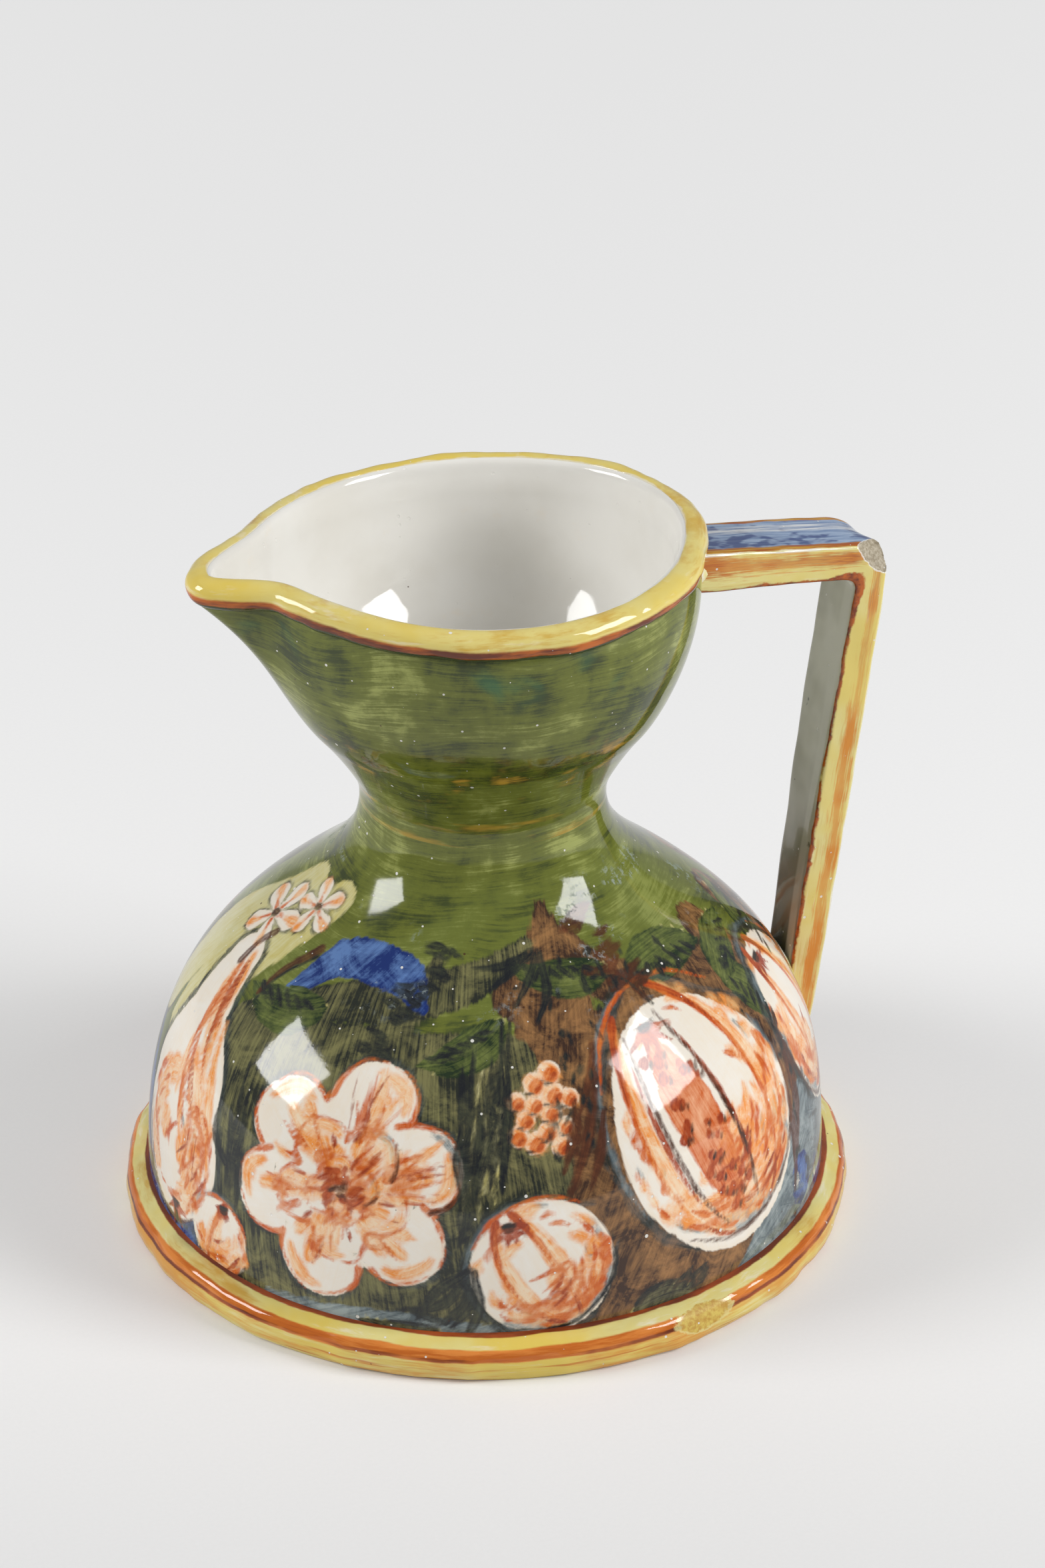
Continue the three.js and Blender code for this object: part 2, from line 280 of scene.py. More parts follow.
def lean_neck(points):
    """Moves the neck and bowl a little towards the handle."""
    rise = np.clip((points[..., 2] - SHOULDER_HEIGHT) / (waist_height - SHOULDER_HEIGHT), 0, 1)
    return points + np.stack([BOWL_SHIFT * rise, 0 * rise, 0 * rise], axis=-1)


def turn_outline(outline, columns):
    """An outline turned about the axis, as rows of points."""
    turn = np.linspace(0, FULL_TURN, columns, endpoint=False)
    radius, height = outline[:, :1], outline[:, 1:]
    return np.stack([-radius * np.cos(turn), -radius * np.sin(turn), height + 0 * turn], axis=-1)


def pull_spout(outline, columns, lip_from, lip_to):
    """An outline turned about the axis and drawn out into the spout.

    Its lip rows lie square to the rim line, as the roll does, and the inner wall starts from them.
    """
    angle = crowded(np.linspace(0, FULL_TURN, columns, endpoint=False))
    radius, height = outline[:, :1], outline[:, 1:]
    part = np.clip((height - belly_height) / (mouth_height - belly_height), 0, 1)
    reach = radius + flare_at(angle) * part ** FLARE_POWER + pull_at(angle) * part ** PULL_POWER
    lift = lift_at(angle) * part ** 2
    drawn = np.stack([-reach * np.cos(angle), -reach * np.sin(angle), height + lift], axis=-1)
    centre, across, up = rim_frame(angle)
    square = centre + across * (radius - RIM_RADIUS)[..., None] + up * (height - rim_height)[..., None]
    rows = drawn.copy()
    rows[lip_from:lip_to] = square[lip_from:lip_to]
    fade = eased((height[lip_to:] - mouth_height) / MOUTH_BLEND + 1)
    rows[lip_to:] += (square[lip_to] - drawn[lip_to]) * fade[..., None]
    return rows


def rim_line(angle):
    """The middle of the rim's roll, by the angle from the spout."""
    reach = RIM_RADIUS + flare_at(angle) + pull_at(angle)
    return np.stack([-reach * np.cos(angle), -reach * np.sin(angle), rim_height + lift_at(angle)], axis=-1)


def rim_frame(angle):
    """The rim line, and the ways out of and up from it."""
    nearby = 0.001
    forward = unit(rim_line(angle + nearby) - rim_line(angle - nearby))
    across = unit(np.stack([forward[..., 1], -forward[..., 0], 0 * angle], axis=-1))
    return rim_line(angle), across, np.cross(across, forward)


# Meshes


def skin(name, rows, close_rows=False, fields=None):
    """A closed piece from rows of points in millimetres. Open rows get end caps."""
    count, columns = rows.shape[:2]
    index = np.arange(count * columns).reshape(count, columns)
    lower = index if close_rows else index[:-1]
    upper = np.roll(index, -1, axis=0) if close_rows else index[1:]
    faces = np.stack([lower, np.roll(lower, -1, axis=1), np.roll(upper, -1, axis=1), upper], axis=-1)
    faces = faces.reshape(-1, 4).tolist()
    if not close_rows:
        faces += [index[0][::-1].tolist(), index[-1].tolist()]
    mesh = bpy.data.meshes.new(name)
    mesh.from_pydata((rows.reshape(-1, 3) * MM).tolist(), [], faces)
    add_fields(mesh, fields)
    return show_mesh(name, mesh)


def show(thing):
    bpy.context.scene.collection.objects.link(thing)


def add_fields(mesh, fields):
    """Named values on the points of a mesh, single or in threes."""
    for name, values in (fields or {}).items():
        values = np.asarray(values, dtype=np.float32)
        threes = values.ndim > 2 and values.shape[-1] == 3
        store = mesh.attributes.new(name, "FLOAT_VECTOR" if threes else "FLOAT", "POINT")
        store.data.foreach_set("vector" if threes else "value", values.reshape(-1))


def show_mesh(name, mesh):
    """A smooth piece in the scene, with its faces outwards."""
    mesh.polygons.foreach_set("use_smooth", [True] * len(mesh.polygons))
    mesh.set_sharp_from_angle(angle=math.radians(SHARP_ANGLE))
    if signed_volume(mesh) < 0:
        mesh.flip_normals()
    piece = bpy.data.objects.new(name, mesh)
    show(piece)
    return piece


def signed_volume(mesh):
    """Above zero where the faces look outwards."""
    mesh.calc_loop_triangles()
    corners = np.empty(len(mesh.loop_triangles) * 3, dtype=np.int32)
    mesh.loop_triangles.foreach_get("vertices", corners)
    points = np.empty(len(mesh.vertices) * 3, dtype=np.float32)
    mesh.vertices.foreach_get("co", points)
    a, b, c = points.reshape(-1, 3)[corners.reshape(-1, 3)].astype(float).swapaxes(0, 1)
    return np.einsum("ij,ij->i", a, np.cross(b, c)).sum()


def finish_piece(piece, material, slot, *nodes):
    """Gives a piece its material, ties it to the root body, and hides the solids of the parts it dresses."""
    if material:
        piece.data.materials.append(material)
    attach(piece, "root")
    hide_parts(*nodes)
    return piece


def loop_of(name, points, fields=None):
    """A closed line of points in millimetres as a mesh of edges."""
    count = len(points)
    mesh = bpy.data.meshes.new(name)
    mesh.from_pydata((np.asarray(points) * MM).tolist(), [(i, (i + 1) % count) for i in range(count)], [])
    add_fields(mesh, fields)
    guide = bpy.data.objects.new(name, mesh)
    show(guide)
    return guide


def make_node(tree, kind, inputs=None, **settings):
    """A node with its settings, and with values or links for its inputs."""
    made = tree.nodes.new(kind)
    for name, value in settings.items():
        setattr(made, name, value)
    for name, value in (inputs or {}).items():
        if isinstance(value, bpy.types.NodeSocket):
            tree.links.new(value, made.inputs[name])
        else:
            made.inputs[name].default_value = value
    return made


def coil_along_path():
    """Geometry nodes that sweep a section along a path and leave it a little uneven."""
    tree = bpy.data.node_groups.new("Coil along a path", "GeometryNodeTree")
    tree.is_modifier = True
    for label, kind in (("Path", "Geometry"), ("Section", "Object"), ("Unevenness", "Float"),
                        ("Bump size", "Float"), ("Glaze", "Material")):
        tree.interface.new_socket(name=label, in_out="INPUT", socket_type="NodeSocket" + kind)
    tree.interface.new_socket(name="Coil", in_out="OUTPUT", socket_type="NodeSocketGeometry")

    def add(kind, inputs=None, **settings):
        return make_node(tree, kind, inputs, **settings)

    given = tree.nodes.new("NodeGroupInput").outputs
    path = add("GeometryNodeMeshToCurve", {0: given["Path"]})
    level = add("GeometryNodeSetCurveNormal", {0: path.outputs[0]}, mode="Z_UP")
    shape = add("GeometryNodeObjectInfo", {0: given["Section"]})
    section = add("GeometryNodeMeshToCurve", {0: shape.outputs["Geometry"]})
    swept = add("GeometryNodeCurveToMesh", {"Curve": level.outputs[0], "Profile Curve": section.outputs[0]})
    outward = add("GeometryNodeInputNamedAttribute", {"Name": "outward"})
    place = add("GeometryNodeInputPosition")
    bumps = add("ShaderNodeTexNoise", {"Vector": place.outputs[0], "Detail": 2.0,
                                       "Scale": calc("DIVIDE", 1.0, given["Bump size"])})
    amount = times(minus(bumps.outputs["Fac"], 0.5), given["Unevenness"])
    shown = times(amount, outward.outputs["Attribute"])
    push = add("ShaderNodeVectorMath", {0: add("GeometryNodeInputNormal").outputs[0],
                                        "Scale": shown}, operation="SCALE")
    moved = add("GeometryNodeSetPosition", {"Geometry": swept.outputs[0], "Offset": push.outputs[0]})
    real = add("GeometryNodeRealizeInstances", {0: moved.outputs[0]})
    glazed = add("GeometryNodeSetMaterial", {"Geometry": real.outputs[0], "Material": given["Glaze"]})
    tree.links.new(glazed.outputs[0], tree.nodes.new("NodeGroupOutput").inputs[0])
    return tree


def swept_coil(name, path, section, section_fields, unevenness, bump_size, material):
    """A closed coil of clay: a section in millimetres, as out and up, along a path."""
    holder = loop_of(name + "_path", path)
    flat = [(out, -up, 0.0) for out, up in section]
    profile = loop_of(name + "_section", flat, section_fields)
    modifier = holder.modifiers.new("coil", "NODES")
    modifier.node_group = COIL
    sockets = {item.name: item.identifier for item in COIL.interface.items_tree if item.in_out == "INPUT"}
    modifier[sockets["Section"]] = profile
    modifier[sockets["Unevenness"]] = unevenness * MM
    modifier[sockets["Bump size"]] = bump_size * MM
    modifier[sockets["Glaze"]] = material
    graph = bpy.context.evaluated_depsgraph_get()
    mesh = bpy.data.meshes.new_from_object(holder.evaluated_get(graph), depsgraph=graph)
    holder.modifiers.clear()
    for guide in (holder, profile):
        bpy.data.objects.remove(guide)
    mesh.name = name
    return show_mesh(name, mesh)


# Brushwork


def on_body(place):
    """A painted place on the outside, from its angle right of the front and its height."""
    turn, height = place
    azimuth = math.radians(FRONT + turn)
    radius = wall_radius(height)
    return np.array([radius * math.cos(azimuth), radius * math.sin(azimuth), height])


def out_of_body(point):
    """The way out of the wall at a point on the outside."""
    height = point[2]
    slope = (wall_radius(height + 1) - wall_radius(height - 1)) / 2
    out = np.array([point[0], point[1], 0]) / max(1e-6, math.hypot(point[0], point[1]))
    return unit(out - np.array([0, 0, slope]))


def through(places, count):
    """A smooth line of places through the given ones."""
    places = np.array(places, dtype=float)
    if len(places) == 2:
        return np.linspace(places[0], places[1], count)
    ends = np.vstack([2 * places[0] - places[1], places, 2 * places[-1] - places[-2]])
    line = []
    for stop in np.linspace(0, len(places) - 1, count):
        part = min(int(stop), len(places) - 2)
        t = stop - part
        a, b, c, d = ends[part:part + 4]
        line.append(0.5 * (2 * b + (c - a) * t + (2 * a - 5 * b + 4 * c - d) * t * t
                           + (3 * b - a - 3 * c + d) * t ** 3))
    return np.array(line)


def stroke(places, widths, count=14):
    """One pass of a brush: its line on the body and its half-widths."""
    line = np.array([on_body(place) for place in through(places, count)])
    stops = np.linspace(0, 1, len(widths))
    return line, np.interp(np.linspace(0, 1, count), stops, widths)


# What stands for no stroke near, the room looked at round a stroke, and the bell's mean radius
FAR = 60.0
STROKE_ROOM = 9.0
MEAN_RADIUS = 74.0

# How far the streaks of one stroke are moved from those of the stroke before, along and across
ALONG_SHIFT = 211
ACROSS_SHIFT = 37

# Colours laid as one mass, and the way each was brushed, in degrees from upright
MASSES = {"umber": 24.0, "olive": -6.0, "slate": 58.0, "cobalt": 48.0, "straw": 18.0}


def brush_field(points, strokes, brushed=None):
    """For every point: the distance outside the strokes, and the place along and across them.

    Strokes that are brushed one way run together; others lie over the ones before.
    """
    flat = points.reshape(-1, 3)
    field = np.tile([FAR, 0.0, 0.0], (len(flat), 1))
    if brushed is not None:
        lean = math.radians(brushed)
        right = np.arctan2(flat[:, 1], flat[:, 0]) * MEAN_RADIUS
        field[:, 1] = flat[:, 2] * math.cos(lean) + right * math.sin(lean)
        field[:, 2] = right * math.cos(lean) - flat[:, 2] * math.sin(lean)
    for number, (line, widths) in enumerate(strokes):
        margin = widths.max() + STROKE_ROOM
        near = np.flatnonzero(np.all((flat > line.min(0) - margin) & (flat < line.max(0) + margin), axis=1))
        if not len(near):
            continue
        close = flat[near]
        best = np.full(len(near), FAR)
        along = np.zeros(len(near))
        across = np.zeros(len(near))
        gone = 0.0
        for a, b, from_width, to_width in zip(line[:-1], line[1:], widths[:-1], widths[1:]):
            step = b - a
            length = np.linalg.norm(step)
            part = np.clip((close - a) @ step / length ** 2, 0, 1)
            off = close - a - part[:, None] * step
            distance = np.linalg.norm(off, axis=1) - from_width - (to_width - from_width) * part
            better = distance < best
            aside = unit(np.cross(out_of_body(a), step))
            best[better] = distance[better]
            along[better] = (gone + part * length)[better]
            across[better] = (off @ aside)[better]
            gone += length
        if brushed is not None:
            field[near, 0] = np.minimum(field[near, 0], best)
            continue
        shown = (best < 0) | (best < field[near, 0])
        kept = near[shown]
        field[kept, 0] = best[shown]
        field[kept, 1] = along[shown] + ALONG_SHIFT * number
        field[kept, 2] = across[shown] + ACROSS_SHIFT * number
    return field.reshape(points.shape)


# The picture on the bell: an orchard still life of fruit, leaves and blossom

dice = np.random.default_rng(11)
PIGMENTS = ["umber", "olive", "slate", "cobalt", "straw", "leaf", "shadow", "tin", "mist",
            "blush", "rust", "flame", "sepia", "ink"]
picture = {pigment: [] for pigment in PIGMENTS}


def lay(pigment, places, widths, count=14):
    """Adds one stroke to the picture."""
    picture[pigment].append(stroke(places, widths, count))


def mm_to_turn(width, height):
    """A width on the body in millimetres as degrees round it."""
    radius = wall_radius(height)
    return math.degrees(width / radius)


def spot(centre, right, up, tilt=0.0):
    """The place a given way right of and above another one, turned by a tilt."""
    angle = math.radians(tilt)
    across = right * math.cos(angle) - up * math.sin(angle)
    rise = right * math.sin(angle) + up * math.cos(angle)
    turn, height = centre
    steepness = abs(out_of_body(on_body(centre))[2])
    climb_share = math.sqrt(max(0.15, 1 - steepness ** 2))
    new_height = height + rise * climb_share
    return turn + mm_to_turn(across, new_height), new_height


def line_from(place, offsets, tilt=0.0):
    """Places at ways right of and above another one, turned by a tilt."""
    return [spot(place, right, up, tilt) for right, up in offsets]


class Form:
    """A painted form round a place: its half width, its half height and its tilt."""

    def __init__(self, centre, wide, tall, tilt):
        self.centre, self.wide, self.tall, self.tilt = centre, wide, tall, tilt

    def at(self, right, up):
        return spot(self.centre, right, up, self.tilt)

    def ring(self, angle, share):
        """The place in one direction, a share of the way out."""
        turn = math.radians(angle)
        return self.at(self.wide * share * math.cos(turn), self.tall * share * math.sin(turn))

    def meridian(self, share, start, stop):
        """Places down the form between its ends, bulging a share of its width aside."""
        return [self.at(self.wide * share * math.sin(math.pi * part), self.tall * math.cos(math.pi * part))
                for part in np.linspace(start, stop, 5)]

    def outline(self, share, angles, pigment, half):
        """A stroke round a part of the form, a share of the way out."""
        places = [self.ring(angle, share) for angle in np.linspace(*angles, 6)]
        lay(pigment, places, [half * 0.3, half, half * 0.6, half, half * 0.3], 16)


forms = []


def hold(centre, reach):
    """Keeps the ground's strokes off a pale form."""
    forms.append((on_body(centre), reach))


def free(places):
    """Whether places keep off the pale forms."""
    return all(np.linalg.norm(on_body(place) - middle) > reach
               for place in places for middle, reach in forms)


# How a stroke that models a form is chosen: below which throw, its pigment and its half-widths
THROWS = ((0.035, "sepia", 0.3, 0.5), (0.17, "flame", 0.45, 0.85), (0.6, "rust", 0.5, 1.15),
          (1.0, "blush", 1.0, 2.4), (1.07, "mist", 0.5, 1.1), (2.0, "blush", 1.0, 2.4))


def model_form(form, shaded, passes, spread=42.0):
    """Hatched strokes that turn a form, crowded on its shaded side over a soft wash."""
    def on_form(angle, share, forward=0.0, heading=0.0, out=0.0):
        turn, way = math.radians(angle), math.radians(angle + 90 + heading)
        right = form.wide * share * math.cos(turn) + forward * math.cos(way) + out * math.cos(turn)
        up = form.tall * share * math.sin(turn) + forward * math.sin(way) + out * math.sin(turn)
        return form.at(right, up)

    wash = form.wide * 0.2
    for angle, share in ((shaded - 44, 0.74), (shaded + 40, 0.76), (shaded, 0.62), (shaded + 4, 0.3)):
        lay("blush", [on_form(angle + step, share) for step in (-24, 0, 24)],
            [wash * 0.5, wash, wash * 0.5], 10)
    for _ in range(passes):
        aside = dice.normal(0, spread) if dice.random() < 0.8 else dice.uniform(-180, 180)
        depth = max(0.0, 1 - abs(aside) / 110)
        angle = shaded + aside
        share = min(0.97, max(0.12, 0.97 - abs(dice.normal(0, 0.16 + 0.24 * depth))))
        heading = dice.uniform(-55, 55) * (1.15 - share)
        reach = dice.uniform(1.8, 3.2 + 3.4 * depth)
        bow = dice.uniform(0.1, 0.9)
        line = [on_form(angle, share, -reach, heading, -bow), on_form(angle, share, 0, heading),
                on_form(angle, share, reach, heading, -bow)]
        throw = dice.random() + 0.35 * (1 - depth)
        pigment, *halves = next(choice for limit, *choice in THROWS if throw < limit)
        half = dice.uniform(*halves)
        lay(pigment, line, [half * 0.3, half, half * 0.3], 7)


def calyx(place, size, tilt, points=5):
    """The dried flower at the end of a fruit."""
    for point in range(points):
        angle = math.radians(tilt + 200 + 140 * point / (points - 1))
        end = spot(place, size * math.cos(angle), size * math.sin(angle))
        lay("flame", [place, end], [1.5, 1.0, 0.3], 6)
    lay("sepia", [spot(place, -size * 0.35, 0.8), place, spot(place, size * 0.35, 1.2)], [0.5, 1.5, 0.5], 6)
    lay("ink", line_from(place, ((-1.2, 0.6), (1.4, 0.9))), [0.7, 0.6], 4)


def round_fruit(centre, wide, tall, tilt, shaded, passes, edge, ribs):
    """A pale fruit left in the ground, modelled in rust strokes, some of them down its ribs."""
    form = Form(centre, wide, tall, tilt)
    form.outline(1.05, (20, 340), "shadow", 2.0)
    low = form.at(0, -(tall - wide * 0.8))
    high = form.at(0, tall - wide * 0.8)
    for place in (low, centre, high):
        hold(place, wide * 0.9)
    lay("tin", [low, centre, high], [wide * 0.84, wide * 0.97, wide * 0.8], 8)
    model_form(Form(centre, wide * 0.95, tall * 0.95, tilt), shaded, passes)
    for share in ribs:
        lay("blush", form.meridian(share + 0.06, 0.16, 0.86), [0.6, 3.0, 1.2], 12)
        lay("rust", form.meridian(share, 0.14, dice.uniform(0.55, 0.88)), [1.2, 0.8, 0.3], 12)
        lay("flame", form.meridian(share, 0.12, 0.34), [1.1, 0.8, 0.2], 8)
        lay("flame", form.meridian(share, 0.72, 0.88), [0.2, 0.8, 0.5], 6)
    for _ in range(passes // 6):
        angle = shaded - 40 + dice.normal(0, 35)
        inner = Form(centre, wide * dice.uniform(0.8, 0.97), tall * dice.uniform(0.8, 0.97), tilt)
        inner.outline(1.0, (angle, angle + 26), "mist", 1.2)
    form.outline(0.99, (shaded - 75, shaded + 60), edge, 0.9)
    form.outline(1.0, (shaded + 100, shaded + 200), "rust", 0.7)
    form.outline(1.02, (shaded + 150, shaded + 260), "mist", 0.8)
    calyx(form.ring(96, 0.78), wide * 0.26, tilt)


def split_fruit(centre, wide, tall, tilt, shaded, passes):
    """A fruit burst open down one side, with its seeds showing."""
    form = Form(centre, wide, tall, tilt)
    round_fruit(centre, wide, tall, tilt, shaded, passes, "sepia", (-0.72, 0.6))
    lay("rust", form.meridian(-0.16, 0.2, 0.8), [0.6, wide * 0.24, wide * 0.2, 0.6], 14)
    for share in (-0.5, 0.16):
        lay("sepia", form.meridian(share, 0.2, 0.8), [0.5, 0.8, 0.5], 12)
        lay("flame", form.meridian(share * 1.1, 0.26, 0.66), [0.3, 1.0, 0.3], 12)
    for _ in range(34):
        part = dice.uniform(0.24, 0.76)
        place = form.meridian(dice.uniform(-0.4, 0.08), part, part + 0.01)[0]
        size = dice.uniform(0.9, 1.7)
        lay("flame", [place, spot(place, 0.5, dice.uniform(0.4, 1.6))], [size, size * 0.7], 3)
        lay("sepia" if dice.random() < 0.6 else "ink", line_from(place, ((size, -size), (size + 0.6, 0))),
            [0.6, 0.4], 3)


def petal_ring(count, first, jitter, nearest, furthest):
    """Petals round a flower, each as its angle and its share of the way out."""
    return [(360 // count * number + first + dice.uniform(-jitter, jitter), dice.uniform(nearest, furthest))
            for number in range(count)]


def full_bloom(centre, size, tilt, shaded):
    """A full-blown flower, its petals turned in blush and rust towards the heart."""
    def on_bloom(angle, share):
        turn = math.radians(angle)
        return spot(centre, size * share * math.cos(turn), size * share * 0.96 * math.sin(turn), tilt)

    def petal_edge(angle, share, round_by, start, stop):
        """Places round the outer end of a petal, from one side of it to the other."""
        middle = on_bloom(angle, share)
        places = []
        for part in np.linspace(start, stop, 6):
            turn = math.radians(angle + tilt + part)
            reach = size * round_by * (1 + 0.035 * math.sin(part / 13 + angle))
            places.append(spot(middle, reach * math.cos(turn), reach * math.sin(turn)))
        return places

    hold(centre, size * 0.94)
    petals = petal_ring(6, 12, 6, 0.6, 0.68)
    for angle, share in petals:
        lay("shadow", [on_bloom(angle, 0.4), on_bloom(angle, share + 0.03)], [size * 0.34, size * 0.37], 5)
    for angle, share in petals:
        lay("tin", [on_bloom(angle, 0.2), on_bloom(angle, share)], [size * 0.36, size * 0.35], 5)
    lay("tin", [on_bloom(0, 0.1), on_bloom(180, 0.1)], [size * 0.5, size * 0.5], 4)
    rings = ((petals, 0.35, 0.36, 1.0),
             (petal_ring(5, 44, 6, 0.34, 0.4), 0.23, 0.16, 0.75),
             (petal_ring(4, 10, 8, 0.14, 0.2), 0.15, 0.06, 0.6))
    for ring, round_by, heart, weight in rings:
        for angle, share in ring:
            deep = max(0.0, math.cos(math.radians((angle - shaded) / 1.7)))
            lay("rust", petal_edge(angle, share, round_by * 0.98, -96, -8), [0.9 * weight, 0.4, 0.25], 12)
            lay("rust", petal_edge(angle, share, round_by * 0.97, 4, 98), [0.25, 0.5, 1.0 * weight], 12)
            if deep > 0.45:
                lay("sepia", petal_edge(angle, share, round_by, -92, -20), [0.9 * weight, 0.5, 0.2], 8)
                lay("mist", petal_edge(angle, share, round_by * 0.86, -50, 50), [0.6, 1.5 * weight, 0.5], 6)
            lay("blush", [on_bloom(angle - 10, heart), on_bloom(angle - 6, share + round_by * 0.2)],
                [size * 0.1 * weight, size * 0.05], 6)
            lay("blush", petal_edge(angle, share, round_by * 0.74, -80, 10),
                [size * 0.03, size * 0.07 * weight, size * 0.02], 8)
            lay("flame", [on_bloom(angle + 30, heart * 1.25), on_bloom(angle + 29, heart * 0.9)],
                [0.2, 0.8, 0.5], 6)
            length = share + round_by - heart
            for _ in range(10 + int(17 * deep)):
                aside = max(-1.0, min(1.0, dice.normal(-0.15, 0.5)))
                start = heart + length * abs(dice.normal(0, 0.13))
                end = min(start + length * dice.uniform(0.15, 0.4 + 0.4 * deep), heart + length * 0.93)
                swerve = dice.uniform(-7, 7)
                lean = 24 * aside
                pigment, half = (("rust", dice.uniform(0.35, 0.8)) if dice.random() < 0.5 else
                                 ("flame", dice.uniform(0.3, 0.55)) if dice.random() < 0.2
                                 else ("blush", dice.uniform(1.0, 2.1)))
                line = [on_bloom(angle + lean, start),
                        on_bloom(angle + lean + swerve * 0.3, (start + end) / 2),
                        on_bloom(angle + lean * 0.9 + swerve, end)]
                lay(pigment, line, [half * 0.8, half, half * 0.25], 7)
    for _ in range(12):
        angle, share = dice.uniform(0, 360), dice.uniform(0, 0.15)
        lay("flame", [on_bloom(angle, share), on_bloom(angle + 30, share + 0.05)], [1.1, 0.6], 4)
    for angle in (20, 140, 260):
        lay("sepia", [on_bloom(angle, 0.03), on_bloom(angle + 40, 0.09)], [0.9, 0.5], 4)


# The strokes down a pear's neck, in turn: pigment and half-width
NECK_STROKES = (("blush", 2.4), ("rust", 0.9), ("blush", 1.6), ("flame", 0.6), ("rust", 0.6))
PEAR_SHADED = -20.0


def pear(centre, length, width, tilt):
    """A pear lying over, pale with rust on its shaded side."""
    form = Form(centre, width, length, tilt)
    neck, middle, base = form.at(0, length * 0.5), form.at(0, length * 0.14), form.at(0, -length * 0.2)
    for place, reach in ((neck, 0.16), (middle, 0.3), (base, 0.48)):
        hold(place, width * reach)
    for pigment, shares in (("shadow", (0.2, 0.3, 0.49, 0.53)), ("tin", (0.16, 0.25, 0.45, 0.49))):
        lay(pigment, [neck, middle, base], [width * share for share in shares], 10)
    belly = Form(base, width * 0.45, width * 0.5, tilt)
    model_form(belly, PEAR_SHADED, 80)
    model_form(belly, PEAR_SHADED + 175, 26, 26.0)
    for share in (0.5, 0.72):
        lay("blush", [form.at(width * share * 0.34, length * 0.3), form.at(width * share * 0.5, 0),
                      form.at(width * share * 0.56, -length * 0.3)], [0.6, 2.2, 0.6], 10)
    for number in range(30):
        up = length * dice.uniform(-0.05, 0.42)
        right = width * (0.34 - 0.5 * up / length) * dice.uniform(-0.1, 1)
        pigment, half = NECK_STROKES[number % len(NECK_STROKES)]
        lay(pigment, [form.at(right * 0.6, up + 7), form.at(right, up), form.at(right * 1.3, up - 8)],
            [half * 0.4, half, half * 0.4], 8)
    lay("mist", [form.at(width * 0.1, length * 0.4), form.at(width * 0.2, length * 0.16)],
        [0.5, 1.3, 0.4], 8)
    lay("sepia", line_from(neck, ((0, -1), (1.5, 6), (4.5, 10)), tilt), [1.5, 1.0, 1.6], 8)
    calyx(form.at(0, -length * 0.5), width * 0.14, tilt, 4)
    Form(base, width * 0.46, width * 0.5, tilt).outline(1.0, (170, 300), "sepia", 0.9)


def plum(centre, radius, tilt=0.0):
    """A small blue fruit with a pale bloom left on it."""
    for pigment, offsets, widths, count in (
            ("cobalt", ((0, -0.2), (0, 0.2)), [radius * 0.85, radius * 0.8], 5),
            ("tin", ((-0.45, -0.1), (-0.3, 0.45)), [0.4, radius * 0.18, 0.3], 6),
            ("ink", ((0.5, -0.6), (0.8, 0), (0.5, 0.6)), [0.4, radius * 0.2, 0.4], 8)):
        places = [spot(centre, radius * right, radius * up, tilt) for right, up in offsets]
        lay(pigment, places, widths, count)


def berries(centre, wide, tall, count):
    """A cluster of rust berries, each with a light left on it."""
    for number in range(count):
        angle, share = 2.4 * number, math.sqrt((number + 0.5) / count)
        place = spot(centre, wide * share * math.cos(angle), tall * share * math.sin(angle))
        size = dice.uniform(2.3, 3.1)
        lay("tin", [place, spot(place, 0.3, 0.3)], [size, size], 3)
        lay("blush", [place, spot(place, 0.5, -0.5)], [size, size * 0.9], 4)
        lay("rust", line_from(place, ((0.5, -0.6), (0.9, 0))), [size * 0.72, size * 0.5], 4)
        lay("flame", line_from(place, ((0.2, -size * 0.6), (size * 0.7, -0.2))), [0.5, 0.8, 0.3], 5)
        lay("ink", line_from(place, ((-size * 0.9, -size * 0.7), (size * 0.2, -size * 1.1))),
            [0.3, 0.6, 0.3], 5)


def leaf(base, length, angle, width, pigment="leaf", vein="straw"):
    """A pointed leaf, its blade brushed outwards from the vein."""
    way = way_of(angle)
    side = np.array([-way[1], way[0]])

    def on_leaf(share, out):
        bend = length * 0.12 * math.sin(share * math.pi)
        return spot(base, *(way * length * share + side * (bend + out)))

    lay(pigment, [on_leaf(share, 0) for share in (0, 0.3, 0.65, 1)],
        [width * share for share in (0.1, 0.72, 1, 0.86, 0.5, 0.08)])
    for number, share in enumerate(np.linspace(0.12, 0.74, 6)):
        for sign in (-1, 1):
            out = sign * width * (0.82 - abs(share - 0.42) * 1.2)
            ends = [on_leaf(share, 0), on_leaf(share + 0.09, out * 0.6), on_leaf(share + 0.15, out)]
            if pigment == "leaf" and sign < 0:
                lay("ink", ends, [0.4, 1.0, 0.3], 6)
            elif vein:
                lay(vein, ends, [0.4, 0.6, 0.25], 6)
    if vein:
        lay(vein, [on_leaf(share, 0) for share in (0, 0.35, 0.7, 0.92)], [0.9, 0.75, 0.3])


# A petal's pigments, from where to where they reach, their half-widths and their points
PETAL_LAYERS = (("shadow", 0.3, 0.84, (0.2, 0.42), 5), ("tin", 0.3, 0.82, (0.16, 0.36), 5),
                ("blush", 0.6, 1.02, (0.06, 0.17), 4))


